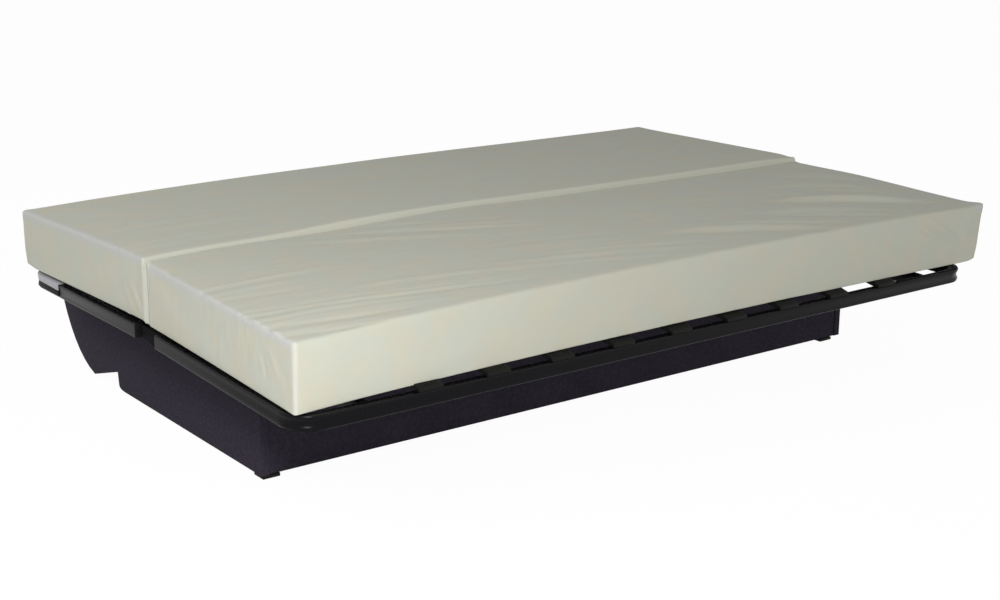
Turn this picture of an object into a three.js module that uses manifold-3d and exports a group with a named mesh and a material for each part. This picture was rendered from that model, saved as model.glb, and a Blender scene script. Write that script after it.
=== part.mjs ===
// Fold-flat sofa bed, shown flat as a bed: two slatted tube frames, each carried by a pair of swinging
// links inside a fabric-covered storage base. Millimetres, +Z up, -Y is the front edge of the seat.
// While it is built, X = 0 is the middle of the frames, Y = 0 the line where the two frames meet and
// Z = 0 the floor. The finished bed is then moved so that its origin is the middle of its footprint.
import * as THREE from 'three';
import { mergeVertices } from 'three/addons/utils/BufferGeometryUtils.js';
import Module from 'manifold-3d';

const wasm = await Module();
wasm.setup();

// Frames of bent rectangular steel tube
const frameLength = 1878;
const frameDepth = 617;
const jointHeight = 259.5;
const seatTiltDegrees = 1.93;
const backTiltDegrees = 0.6;
const tubeHeight = 30;
const tubeWidth = 20;
const tubeWall = 1.5;
const bendRadius = 62;
const bendDrawIn = 3.2;
const seatRailEnd = 44;
const backRailEnd = 51;
const crossRailPlace = 52;
const innerRailInset = 145;
const touchGap = 0.3;

// Sprung slats and the plastic caps that hold their ends
const slatCount = 9;
const slatEndInset = 297;
const slatWidth = 53;
const slatThickness = 8;
const slatRise = 16;
const slatLift = 2.2;
const capWidth = 57;
const capLength = 46;
const capNoseHeight = 8;
const capHeight = 13;
const capWall = 1.6;

// Mattress halves
const mattressOverhang = 11;
const mattressShift = 20;
const mattressTop = 139.5;
const mattressBottom = 13.6;
const mattressGap = 1;
const seatMattressFront = 599;
const backMattressRear = 645;
const seatMattressCrown = 11;
const backMattressCrown = 8;
const seatMattressInnerRise = -1;
const seatMattressOuterRise = 5;
const backMattressInnerRise = 5.5;
const backMattressOuterRise = 1.5;
const mattressDrawIn = 7;
const seatMattressDroop = 11;
const backMattressDroop = 7.3;
const mattressEdgeShare = 0.9;
const mattressEdgeRadius = 10;

// Storage base
const panelInset = 97.5;
const panelThickness = 19;
const panelTop = 196;
const baseFront = 303;
const boxRear = 338;
const footHeight = 8;
const boardThickness = 16;
const boardTop = 190;
const boardSetBack = 3;
const rearBoardPlace = 328;
const bottomBoardHeight = 18;
const bottomBoardThickness = 10;
const wingTipPlace = 506;
const wingTopPlace = 684;
const notchPlace = 374;
const notchHeight = 48;
const heelPlace = 370;
const heelHeight = 20;
const wingBulgePlace = 625;
const wingBulgeHeight = 36;
const panelCornerRadius = 10;
const footLength = 40;
const footDepth = 38;
const footInsetLeft = 3.5;
const footInsetRight = 28;
const footInsetFront = 1;

// Swinging links between the base and the frames
const linkReach = 178;
const linkLeanDegrees = 20;
const linkWidth = 32;
const linkThickness = 6;
const linkClearance = 3.4;
const pivotSpacing = 54;
const pivotDrop = 15;
const pivotRadius = 8;
const pivotGap = 0.3;
const pivotTail = 2;
const basePlateThickness = 3;
const basePlateBelowPivot = 23.2;
const basePlateAbovePivot = 44.8;
const bracketThickness = 5;
const bracketRadius = 18;
const bracketNeckTop = 19;
const bracketNeckLow = 31;
const bracketNeckStart = 20;
const bracketNeckEnd = 49;
const bracketRise = 54;
const bracketEnd = 96;
const bracketTop = 6;
const bracketLow = 26;

// Ratchet that holds the back at three angles
const backTurnDegrees = 70;
const linkShare = 0.85;
const ratchetRadius = 30;
const ratchetDirectionDegrees = 190;
const ratchetMarginDegrees = 15;
const notchDepth = 5.5;
const notchHalfWidth = 5;
const notchFloorShare = 0.8;
const pawlReach = 30;
const pawlWidth = 12;
const notchShares = [0, 0.5, 1];
const pawlPinRadius = 4;
const pawlClear = 0.5;
const pawlToothLength = 5.5;
const pawlTipWidth = 6;

// Frame rests, plates, plugs and guards
const restPlace = 258;
const restMargin = 2;
const restWidth = 40;
const restThickness = 3;
const restDrop = 55;
const bufferThickness = 9;
const bufferLength = 34;
const sidePlateThickness = 3;
const sidePlateInset = 10.5;
const sidePlateTongue = 60;
const sidePlateReach = 38;
const sidePlateDeepDrop = 35.5;
const sidePlateShallowDrop = 26.5;
const sidePlateLevel = 17;
const plugThickness = 3;
const plugDepth = 22;
const guardThickness = 1.6;
const guardStart = 449;
const guardRearRun = 110;
const guardSkirt = 4.2;

// Numbers of steps on round stretches
const bendSteps = 7;
const roundSteps = 24;
const slatSteps = 8;
const wingSteps = 8;
const cornerSteps = 3;

const radians = THREE.MathUtils.degToRad;
const halfLength = frameLength / 2;
const slatPitch = (frameLength - 2 * slatEndInset) / (slatCount - 1);
const mattressLength = frameLength + 2 * mattressOverhang;
const pivotHeight = jointHeight - pivotDrop;
const panelOuter = halfLength - panelInset;
const panelInner = panelOuter - panelThickness;
const innerRailOuter = halfLength - innerRailInset;
const innerRailInner = innerRailOuter - tubeWidth;
const bracketOuter = innerRailOuter + touchGap + bracketThickness;
const linkInner = bracketOuter + linkClearance;
const linkOuter = linkInner + linkThickness;
const basePlateOuter = panelInner - touchGap;
const basePlateInner = basePlateOuter - basePlateThickness;
const basePlateDepth = restPlace + restWidth / 2 + restMargin;
const framePivotPlace = pivotSpacing / 2;
const basePivotPlace = framePivotPlace + linkReach * Math.sin(radians(linkLeanDegrees));
const basePivotHeight = pivotHeight - linkReach * Math.cos(radians(linkLeanDegrees));
const basePlateLow = basePivotHeight - basePlateBelowPivot;
const basePlateHigh = basePivotHeight + basePlateAbovePivot;

// Materials
function finish(color, roughness, metalness) {
  return new THREE.MeshStandardMaterial({ color, roughness, metalness });
}
const finishes = {
  tubePaint: () => finish(0x232327, 0.38, 0.2),
  blackSteel: () => finish(0x141415, 0.6, 0.1),
  slatWood: () => finish(0x2b2622, 0.6, 0),
  blackPlastic: () => finish(0x1d1e1d, 0.55, 0),
  baseCloth: () => finish(0x28242c, 0.95, 0),
  coverCloth: () => finish(0xbebfae, 0.9, 0),
  zincSteel: () => finish(0x8f9294, 0.4, 0.9),
  greyPlastic: () => finish(0x9a98a0, 0.5, 0),
  bareBoard: () => finish(0x8a7458, 0.8, 0),
  blackRubber: () => finish(0x161616, 0.85, 0),
};

// Small geometry helpers
function positionOnly(geometry) {
  const plain = geometry.clone();
  plain.deleteAttribute('normal');
  plain.deleteAttribute('uv');
  return mergeVertices(plain, 1e-4);
}

function toSolid(geometry) {
  const merged = positionOnly(geometry);
  return new wasm.Manifold(new wasm.Mesh({
    numProp: 3,
    vertProperties: new Float32Array(merged.attributes.position.array),
    triVerts: new Uint32Array(merged.index.array),
  }));
}

function toGeometry(solid) {
  const mesh = solid.getMesh();
  const geometry = new THREE.BufferGeometry();
  geometry.setAttribute('position', new THREE.BufferAttribute(new Float32Array(mesh.vertProperties), 3));
  geometry.setIndex(Array.from(mesh.triVerts));
  geometry.computeVertexNormals();
  return geometry;
}

function join(...geometries) {
  return toGeometry(geometries.map(toSolid).reduce((whole, part) => whole.add(part)));
}

function cut(geometry, ...tools) {
  return toGeometry(tools.map(toSolid).reduce((whole, tool) => whole.subtract(tool), toSolid(geometry)));
}

// A block between two corners
function block(low, high) {
  const size = high.map((value, i) => value - low[i]);
  const middle = high.map((value, i) => (value + low[i]) / 2);
  return new THREE.BoxGeometry(...size).translate(...middle);
}

// A slab whose outline lies in Y and Z, between two places along X
function slab(shape, xLow, xHigh) {
  const geometry = new THREE.ExtrudeGeometry(shape, { depth: xHigh - xLow, bevelEnabled: false });
  const turn = new THREE.Matrix4().makeBasis(
    new THREE.Vector3(0, 1, 0), new THREE.Vector3(0, 0, 1), new THREE.Vector3(1, 0, 0));
  return geometry.applyMatrix4(turn).translate(xLow, 0, 0);
}

// A round bar along X
function roundBar(radius, xLow, xHigh, y, z) {
  return new THREE.CylinderGeometry(radius, radius, xHigh - xLow, roundSteps)
    .rotateZ(Math.PI / 2).translate((xLow + xHigh) / 2, y, z);
}

// Signed volume of a closed surface: negative when its faces point inwards
function signedVolume(geometry) {
  const place = geometry.attributes.position;
  const corners = [new THREE.Vector3(), new THREE.Vector3(), new THREE.Vector3()];
  let total = 0;
  for (let i = 0; i < geometry.index.count; i += 3) {
    corners.forEach((corner, k) => corner.fromBufferAttribute(place, geometry.index.getX(i + k)));
    total += corners[0].dot(corners[1].clone().cross(corners[2]));
  }
  return total / 6;
}

// A skin over rings of points. A closed row of rings ends where it starts. An open one has both ends
// filled, by way of the flat outline that all its rings follow.
function loft(rings, outline = null) {
  const closed = outline === null;
  const count = rings[0].length;
  const points = rings.flat();
  const faces = [];
  const lastRing = closed ? rings.length : rings.length - 1;
  for (let r = 0; r < lastRing; r += 1) {
    const here = r * count;
    const next = ((r + 1) % rings.length) * count;
    for (let i = 0; i < count; i += 1) {
      const j = (i + 1) % count;
      faces.push(here + i, next + i, next + j, here + i, next + j, here + j);
    }
  }
  if (!closed) {
    const lastStart = (rings.length - 1) * count;
    const turn = Math.sign(THREE.ShapeUtils.area(outline));
    for (const corners of THREE.ShapeUtils.triangulateShape(outline, [])) {
      const own = Math.sign(THREE.ShapeUtils.area(corners.map((i) => outline[i])));
      const [a, b, c] = own === turn ? corners : corners.slice().reverse();
      faces.push(a, b, c, lastStart + c, lastStart + b, lastStart + a);
    }
  }
  const geometry = new THREE.BufferGeometry().setFromPoints(points);
  geometry.setIndex(faces);
  if (signedVolume(geometry) < 0) {
    geometry.setIndex(Array.from(geometry.index.array).reverse());
  }
  geometry.computeVertexNormals();
  return geometry;
}

// A straight hollow tube of the frame section. It runs along X or Y, with its top face at Z = 0.
function straightTube(alongX, low, high, sideLow) {
  const ring = (place, inset) => {
    const across = [sideLow + inset, sideLow + tubeWidth - inset];
    const up = [-tubeHeight + inset, -inset];
    return [[0, 0], [1, 0], [1, 1], [0, 1]].map(([a, u]) => (alongX
      ? new THREE.Vector3(place, across[a], up[u])
      : new THREE.Vector3(across[a], place, up[u])));
  };
  return loft([ring(low, 0), ring(high, 0), ring(high, tubeWall), ring(low, tubeWall)]);
}

// Stations of the bent tube's outer edge: each has a place, the direction outwards and how far its bend is along
function bentStations(railEnd) {
  const corner = halfLength - bendRadius;
  const stations = [{ x: -halfLength, y: -railEnd, outX: -1, outY: 0, bend: 0 }];
  for (const side of [-1, 1]) {
    for (let i = 0; i <= bendSteps; i += 1) {
      const share = side < 0 ? i / bendSteps : 1 - i / bendSteps;
      const angle = share * Math.PI / 2;
      const outX = side * Math.cos(angle);
      const outY = -Math.sin(angle);
      stations.push({
        x: side * corner + bendRadius * outX,
        y: -(frameDepth - bendRadius) + bendRadius * outY,
        outX,
        outY,
        bend: Math.sin(share * Math.PI),
      });
    }
  }
  stations.push({ x: halfLength, y: -railEnd, outX: 1, outY: 0, bend: 0 });
  return stations;
}

// The U-shaped tube of a frame. On its bends the outer wall is drawn in between two ridges.
function bentTube(railEnd) {
  const ridge = tubeHeight / 6;
  const ring = (station, inset) => {
    const drawn = bendDrawIn * station.bend;
    const outline = [
      [tubeWidth - inset, -tubeHeight + inset],
      [tubeWidth - inset, -inset],
      [inset, -inset],
      [inset, -ridge],
      [inset + drawn, -tubeHeight / 2],
      [inset, -tubeHeight + ridge],
      [inset, -tubeHeight + inset],
    ];
    return outline.map(([inwards, up]) => new THREE.Vector3(
      station.x - station.outX * inwards, station.y - station.outY * inwards, up));
  };
  const stations = bentStations(railEnd);
  return loft([
    ...stations.map((station) => ring(station, 0)),
    ...stations.map((station) => ring(station, tubeWall)).reverse(),
  ]);
}

// Height of a slat's bow above its ends
function slatBow(y) {
  const near = -frameDepth + tubeWidth / 2;
  const far = -crossRailPlace - tubeWidth / 2;
  const share = (y - near) / (far - near);
  return Math.max(0, 4 * slatRise * share * (1 - share));
}

// A sprung slat with the two plastic shoes that it is pressed into. A shoe's nose slopes up from the rail's face.
function slat(x) {
  const near = -frameDepth + tubeWidth / 2;
  const far = -crossRailPlace - tubeWidth / 2;
  const places = Array.from({ length: slatSteps + 1 }, (unused, i) => near + (far - near) * (i / slatSteps));
  const outline = [
    ...places.map((y) => new THREE.Vector2(y, slatLift + slatBow(y))),
    ...places.reverse().map((y) => new THREE.Vector2(y, slatLift + slatThickness + slatBow(y))),
  ];
  const wood = slab(new THREE.Shape(outline), x - slatWidth / 2, x + slatWidth / 2);
  return join(wood, slatShoe(x, -frameDepth, 1), slatShoe(x, -crossRailPlace, -1));
}

function slatShoe(x, start, side) {
  const at = (inwards) => start + side * inwards;
  const end = at(capLength);
  const shape = new THREE.Shape([
    new THREE.Vector2(at(0), touchGap),
    new THREE.Vector2(at(tubeWidth), touchGap),
    new THREE.Vector2(end, slatLift - capWall + slatBow(end)),
    new THREE.Vector2(end, slatLift + slatThickness + capWall + slatBow(end)),
    new THREE.Vector2(at(tubeWidth), capHeight),
    new THREE.Vector2(at(0), capNoseHeight),
  ]);
  return slab(shape, x - capWidth / 2, x + capWidth / 2);
}

// A mattress half: crowned above, drawn in along its sides, hollowed below where it lies on the bowed slats
function mattress(yLow, yHigh, half) {
  const outline = mattressSection(yLow, yHigh);
  const endShares = [0, 0.35, 0.7, 1];
  const bodyShares = [0.8, 0.6, 0.3, 0, -0.3, -0.6, -0.8];
  const row = [
    ...endShares.map((share) => endStation(-1, share)),
    ...bodyShares.map((share) => ({ x: -share * mattressLength / 2, inset: 0 })),
    ...endShares.map((share) => endStation(1, share)).reverse(),
  ];
  return loft(row.map(({ x, inset }) => mattressRing(outline, x, inset, yLow, yHigh, half)), outline);
}

// A ring near an end: share 0 is the flat end face, 1 is where the rounding meets the long sides
function endStation(side, share) {
  const angle = share * Math.PI / 2;
  return {
    x: side * (mattressLength / 2 - mattressEdgeRadius * (1 - Math.cos(angle))),
    inset: mattressEdgeRadius * (1 - Math.sin(angle)),
  };
}

// Points round the section, with rounded corners and extra points along its four sides
function mattressSection(yLow, yHigh) {
  const r = mattressEdgeRadius;
  const corners = [
    { y: yHigh - r, z: mattressBottom + r, from: -Math.PI / 2, extra: 2 },
    { y: yHigh - r, z: mattressTop - r, from: 0, extra: 7 },
    { y: yLow + r, z: mattressTop - r, from: Math.PI / 2, extra: 2 },
    { y: yLow + r, z: mattressBottom + r, from: Math.PI, extra: 7 },
  ];
  const onCorner = (corner, share) => {
    const angle = corner.from + share * Math.PI / 2;
    return new THREE.Vector2(corner.y + r * Math.cos(angle), corner.z + r * Math.sin(angle));
  };
  return corners.flatMap((corner, c) => {
    const next = onCorner(corners[(c + 1) % corners.length], 0);
    const last = onCorner(corner, 1);
    const round = Array.from({ length: cornerSteps }, (unused, i) => onCorner(corner, i / cornerSteps));
    const side = Array.from({ length: corner.extra }, (unused, i) => (
      last.clone().lerp(next, (i + 1) / (corner.extra + 1))));
    return [...round, last, ...side];
  });
}

// One ring of a mattress half, with the crown, the drawn-in sides and the hollow of its underside
function mattressRing(outline, x, inset, yLow, yHigh, half) {
  const middle = (yLow + yHigh) / 2;
  const halfDepth = (yHigh - yLow) / 2;
  const height = mattressTop - mattressBottom;
  const along = x / (mattressLength / 2);
  const crownHeight = half > 0 ? seatMattressCrown : backMattressCrown;
  const droopDepth = half > 0 ? seatMattressDroop : backMattressDroop;
  const innerRise = half > 0 ? seatMattressInnerRise : backMattressInnerRise;
  const outerRise = half > 0 ? seatMattressOuterRise : backMattressOuterRise;
  return outline.map((point) => {
    const across = (point.x - middle) / halfDepth;
    const up = (point.y - mattressBottom) / height;
    const shrunkY = middle + (point.x - middle) * (1 - inset / halfDepth);
    const shrunkZ = point.y + inset * (1 - 2 * up);
    const edge = mattressEdgeShare + (1 - mattressEdgeShare) * (1 - across ** 4);
    const outward = (1 - across * half) / 2;
    const rise = (innerRise + (outerRise - innerRise) * outward) * up;
    const crown = crownHeight * (1 - along ** 4) * edge * up;
    const hollow = slatBow(half * point.x) * (1 - up) * (1 - along ** 8);
    const droop = droopDepth * along ** 10 * (1 - up);
    const waist = 4 * up * (1 - up);
    const outside = across * half > 0 ? 0 : 1;
    const tilt = Math.tan(radians(half > 0 ? seatTiltDegrees : backTiltDegrees));
    const upright = half * tilt * shrunkZ * Math.max(0, across * half) ** 2;
    const drawY = -Math.sign(across) * mattressDrawIn * Math.abs(across) ** 8 * (1 - along ** 2) * waist;
    const drawX = -Math.sign(along) * mattressDrawIn * Math.abs(along) ** 30 * (1 - across ** 2) * waist;
    return new THREE.Vector3(
      mattressShift + x + drawX, shrunkY + upright + outside * drawY, shrunkZ + rise + crown + hollow - droop);
  });
}

// End panel: front edge, level top, a wing that reaches back and down, and a notch behind the box
function endPanelShape() {
  const shape = new THREE.Shape();
  shape.moveTo(-baseFront, footHeight);
  shape.lineTo(boxRear, footHeight);
  shape.quadraticCurveTo(heelPlace, footHeight, heelPlace, heelHeight);
  shape.lineTo(notchPlace, notchHeight);
  shape.lineTo(wingTipPlace, footHeight);
  shape.quadraticCurveTo(wingBulgePlace, wingBulgeHeight, wingTopPlace, panelTop);
  shape.lineTo(-baseFront + panelCornerRadius, panelTop);
  shape.quadraticCurveTo(-baseFront, panelTop, -baseFront, panelTop - panelCornerRadius);
  shape.closePath();
  return shape;
}

function endPanel(side) {
  const shape = new THREE.Shape(endPanelShape().getPoints(wingSteps));
  return side < 0 ? slab(shape, -panelOuter, -panelInner) : slab(shape, panelInner, panelOuter);
}

function footPad(sideName, rear) {
  const left = sideName === 'left' ? -panelOuter + (rear ? footInsetRight : footInsetLeft)
    : panelOuter - footInsetRight - footLength;
  const front = rear ? rearBoardPlace - footDepth : -baseFront + footInsetFront;
  return block([left, front, 0], [left + footLength, front + footDepth, footHeight - touchGap]);
}

function crossBoard(yLow, low, high) {
  const end = panelInner - touchGap;
  return block([-end, yLow, low], [end, yLow + boardThickness, high]);
}

function bottomBoard() {
  const end = panelInner - touchGap;
  const front = -baseFront + boardSetBack + boardThickness + touchGap;
  const rear = rearBoardPlace - touchGap;
  return block([-end, front, bottomBoardHeight], [end, rear, bottomBoardHeight + bottomBoardThickness]);
}

// A flat bar with round ends from one pivot to the other
function barShape(from, to, width) {
  const direction = Math.atan2(to.y - from.y, to.x - from.x);
  const shape = new THREE.Shape();
  shape.absarc(to.x, to.y, width / 2, direction - Math.PI / 2, direction + Math.PI / 2, false);
  shape.absarc(from.x, from.y, width / 2, direction + Math.PI / 2, direction + 3 * Math.PI / 2, false);
  shape.closePath();
  return new THREE.Shape(shape.getPoints(roundSteps / 2));
}

// Places of the two pivots of a link in Y and Z: half is -1 for the seat and 1 for the back
function framePivot(half) {
  return new THREE.Vector2(half * framePivotPlace, pivotHeight);
}

function basePivot(half) {
  return new THREE.Vector2(half * basePivotPlace, basePivotHeight);
}

// Mirrors a span along X for the side of the bed that it is on
function span(side, inner, outer) {
  return side < 0 ? [-outer, -inner] : [inner, outer];
}

// Steel plate on the panel's inner face, with a fixed pivot pin for each link and an arm beneath each frame
function basePlate(side) {
  const [xLow, xHigh] = span(side, basePlateInner, basePlateOuter);
  const bar = block([xLow, -basePlateDepth, basePlateLow], [xHigh, basePlateDepth, basePlateHigh]);
  const [pinLow, pinHigh] = span(side, linkInner - pivotTail, basePlateInner + basePlateThickness / 2);
  const pins = [-1, 1].map((half) => {
    const pin = basePivot(half);
    return roundBar(pivotRadius, pinLow, pinHigh, pin.x, pin.y);
  });
  const lug = pawlPivot();
  pins.push(roundBar(pawlPinRadius, pinLow, pinHigh, lug.x, lug.y));
  const rests = [-1, 1].flatMap((half) => {
    const top = restTop(half) - bufferThickness - touchGap;
    const [armLow, armHigh] = span(side, innerRailInner, basePlateOuter);
    const near = half * restPlace - restWidth / 2;
    const far = half * restPlace + restWidth / 2;
    return [
      block([xLow, near, basePlateLow], [xHigh, far, top]),
      block([armLow, near, top - restThickness], [armHigh, far, top]),
    ];
  });
  return join(bar, ...pins, ...rests);
}

// A point at some reach from the back's base pivot, in the direction in which the pawl meets the ratchet
function pawlTip() {
  const along = radians(ratchetDirectionDegrees);
  const reach = ratchetRadius + pawlToothLength + pawlWidth / 2;
  return basePivot(1).add(new THREE.Vector2(Math.cos(along), Math.sin(along)).multiplyScalar(reach));
}

// Point on the base where the pawl turns
function pawlPivot() {
  const along = radians(ratchetDirectionDegrees);
  return pawlTip().add(new THREE.Vector2(Math.sin(along), -Math.cos(along)).multiplyScalar(pawlReach));
}

// A link with a hole at each end. The foot of the back's links is the ratchet.
function link(side, half) {
  const top = framePivot(half);
  const foot = basePivot(half);
  const [xLow, xHigh] = span(side, linkInner, linkOuter);
  const bar = slab(barShape(foot, top, linkWidth), xLow, xHigh);
  const body = half > 0 ? join(bar, slab(ratchetShape(), xLow, xHigh)) : bar;
  return cut(body, ...[top, foot].map((hole) => roundBar(
    pivotRadius + pivotGap, xLow - linkClearance, xHigh + linkClearance, hole.x, hole.y)));
}

// The pawl: a short arm on a pin in the base plate, whose tooth waits just off the ratchet's rim
function pawl(side) {
  const lug = pawlPivot();
  const tip = pawlTip();
  const pivot = basePivot(1);
  const [armLow, armHigh] = span(side, linkInner, linkOuter);
  const rim = roundBar(ratchetRadius + pawlClear, armLow - pawlClear, armHigh + pawlClear, pivot.x, pivot.y);
  const arm = slab(barShape(lug, tip, pawlWidth), armLow, armHigh);
  const tooth = slab(pawlTooth(tip), armLow, armHigh);
  const hole = roundBar(pawlPinRadius + pivotGap, armLow - pawlClear, armHigh + pawlClear, lug.x, lug.y);
  return cut(join(cut(arm, rim), cut(tooth, rim)), hole);
}

// The tooth points from the arm's end towards the ratchet's middle
function pawlTooth(tip) {
  const along = radians(ratchetDirectionDegrees);
  const reach = pawlWidth / 2 + pawlToothLength;
  const across = pawlTipWidth / 2;
  const point = (inwards, sideways) => new THREE.Vector2(
    tip.x - inwards * Math.cos(along) - sideways * Math.sin(along),
    tip.y - inwards * Math.sin(along) + sideways * Math.cos(along));
  return new THREE.Shape([point(0, -across), point(0, across), point(reach, across), point(reach, -across)]);
}

// Foot of a back link: a ratchet with a notch for each of the back's three positions
function ratchetShape() {
  const pivot = basePivot(1);
  const along = radians(ratchetDirectionDegrees);
  const turn = radians(backTurnDegrees) * linkShare;
  const margin = radians(ratchetMarginDegrees);
  const halfNotch = notchHalfWidth / ratchetRadius;
  const polar = [[along - margin, 0], [along - margin, ratchetRadius]];
  for (const share of notchShares) {
    const centre = along + share * turn;
    polar.push(
      [centre - halfNotch, ratchetRadius],
      [centre - halfNotch * notchFloorShare, ratchetRadius - notchDepth],
      [centre + halfNotch * notchFloorShare, ratchetRadius - notchDepth],
      [centre + halfNotch, ratchetRadius]);
  }
  polar.push([along + turn + margin, ratchetRadius]);
  return new THREE.Shape(polar.map(([angle, radius]) => new THREE.Vector2(
    pivot.x + radius * Math.cos(angle), pivot.y + radius * Math.sin(angle))));
}

// Arm of a bracket: from the pivot it dips beneath the cross rail and then lies against the inner rail
function bracketArm(half) {
  const pivot = framePivot(half);
  const outline = [
    [0, -bracketRadius / 2], [bracketNeckStart, -bracketNeckTop], [bracketNeckEnd, -bracketNeckTop],
    [bracketRise, -bracketTop], [bracketEnd, -bracketTop], [bracketEnd, -bracketLow],
    [bracketRise, -bracketNeckLow], [bracketNeckStart, -bracketNeckLow],
  ];
  return new THREE.Shape(outline.map(([away, up]) => new THREE.Vector2(pivot.x + half * away, pivot.y + up)));
}

// Steel bracket on the inner rail: it carries the pin on which the frame turns
function frameBracket(side, half) {
  const pivot = framePivot(half);
  const [xLow, xHigh] = span(side, bracketOuter - bracketThickness, bracketOuter);
  const arm = slab(bracketArm(half), xLow, xHigh);
  const head = roundBar(bracketRadius, xLow, xHigh, pivot.x, pivot.y);
  const [pinLow, pinHigh] = span(side, bracketOuter - bracketThickness / 2, linkOuter + pivotTail);
  return join(arm, head, roundBar(pivotRadius, pinLow, pinHigh, pivot.x, pivot.y));
}

// Height of a frame's underside, less a gap, where a rest carries its inner rail
function restTop(half) {
  const tilt = radians(half < 0 ? seatTiltDegrees : backTiltDegrees);
  const fall = Math.tan(tilt) * (restPlace + restWidth / 2);
  return jointHeight - fall - tubeHeight / Math.cos(tilt) - touchGap;
}

function restBuffer(side, half) {
  const top = restTop(half);
  const near = half * restPlace - bufferLength / 2;
  const [xLow, xHigh] = span(side, innerRailInner + tubeWall, innerRailOuter - tubeWall);
  return block([xLow, near, top - bufferThickness], [xHigh, near + bufferLength, top]);
}

// Plate that fills the space between the side rails: its tongue sits inside the seat's tube
function sidePlate(side) {
  const inside = tubeWall + touchGap;
  const shape = new THREE.Shape([
    new THREE.Vector2(-seatRailEnd - sidePlateTongue, -tubeHeight + inside),
    new THREE.Vector2(-seatRailEnd + touchGap, -tubeHeight + inside),
    new THREE.Vector2(-seatRailEnd + touchGap, -sidePlateDeepDrop),
    new THREE.Vector2(-sidePlateLevel, -sidePlateDeepDrop),
    new THREE.Vector2(sidePlateReach, -sidePlateShallowDrop),
    new THREE.Vector2(sidePlateReach, -inside),
    new THREE.Vector2(-seatRailEnd - sidePlateTongue, -inside),
  ]);
  const outer = halfLength - sidePlateInset;
  const [xLow, xHigh] = span(side, outer - sidePlateThickness, outer);
  return slab(shape, xLow, xHigh);
}

// Plastic plug in the end of a side rail of the back
function tubePlug(side) {
  const inside = tubeWall + touchGap;
  const [headLow, headHigh] = span(side, halfLength - tubeWidth, halfLength);
  const [stemLow, stemHigh] = span(side, halfLength - tubeWidth + inside, halfLength - inside);
  const end = -backRailEnd + touchGap;
  return join(
    block([headLow, end, -tubeHeight], [headHigh, end + plugThickness, 0]),
    block([stemLow, end - plugDepth, -tubeHeight + inside], [stemHigh, end + plugThickness / 2, -inside]));
}

// Grey corner guard clipped over the top and the outer side of a bend of the back's tube
function cornerGuard(side) {
  const stations = bentStations(backRailEnd);
  const bend = stations.filter((station) => Math.sign(station.x) === side && station.y !== -backRailEnd);
  const first = { x: side * halfLength, y: -guardStart, outX: side, outY: 0, bend: 0 };
  const last = { x: side * (halfLength - bendRadius - guardRearRun), y: -frameDepth, outX: 0, outY: -1, bend: 0 };
  const ordered = side < 0 ? [first, ...bend, last] : [last, ...bend, first];
  const outline = guardOutline(first.bend).map(([inwards, up]) => new THREE.Vector2(inwards, up));
  return loft(ordered.map((station) => guardOutline(station.bend).map(([inwards, up]) => new THREE.Vector3(
    station.x - station.outX * inwards, station.y - station.outY * inwards, up))), outline);
}

// Section of a guard: a thin angle over the tube's top and outer face, drawn in with the tube on the bend
function guardOutline(bend) {
  const gap = touchGap;
  const wall = gap + guardThickness;
  const drawn = bendDrawIn * bend;
  const ridge = tubeHeight / 6;
  return [
    [tubeWidth, gap], [tubeWidth, wall], [-wall, wall], [-wall, -ridge], [drawn - wall, -tubeHeight / 2],
    [-wall, ridge - tubeHeight], [-wall, guardSkirt - tubeHeight], [-gap, guardSkirt - tubeHeight],
    [-gap, ridge - tubeHeight], [drawn - gap, -tubeHeight / 2], [-gap, -ridge], [-gap, gap],
  ].reverse();
}

// The scene graph
const bed = new THREE.Group();
bed.name = 'fold_flat_sofa_bed';

function place(parent, name, geometry, material) {
  const mesh = new THREE.Mesh(geometry, material());
  mesh.name = name;
  parent.add(mesh);
}

const sides = [[-1, 'left'], [1, 'right']];

function buildBase(parent) {
  for (const [side, sideName] of sides) {
    place(parent, `${sideName}_end_panel`, endPanel(side), finishes.baseCloth);
    place(parent, `foot_pad_front_${sideName}`, footPad(sideName, false), finishes.blackPlastic);
    place(parent, `foot_pad_rear_${sideName}`, footPad(sideName, true), finishes.blackPlastic);
    place(parent, `mechanism_plate_${sideName}`, basePlate(side), finishes.zincSteel);
    place(parent, `seat_buffer_${sideName}`, restBuffer(side, -1), finishes.blackRubber);
    place(parent, `back_buffer_${sideName}`, restBuffer(side, 1), finishes.blackRubber);
  }
  place(parent, 'front_board', crossBoard(-baseFront + boardSetBack, footHeight, boardTop), finishes.baseCloth);
  place(parent, 'rear_board', crossBoard(rearBoardPlace, footHeight, boardTop), finishes.baseCloth);
  place(parent, 'bottom_board', bottomBoard(), finishes.bareBoard);
}

function buildLinks(parent) {
  for (const [side, sideName] of sides) {
    place(parent, `seat_link_${sideName}`, link(side, -1), finishes.zincSteel);
    place(parent, `back_link_${sideName}`, link(side, 1), finishes.zincSteel);
    place(parent, `pawl_${sideName}`, pawl(side), finishes.zincSteel);
    place(parent, `seat_bracket_${sideName}`, frameBracket(side, -1), finishes.zincSteel);
    place(parent, `back_bracket_${sideName}`, frameBracket(side, 1), finishes.zincSteel);
  }
}

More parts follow.
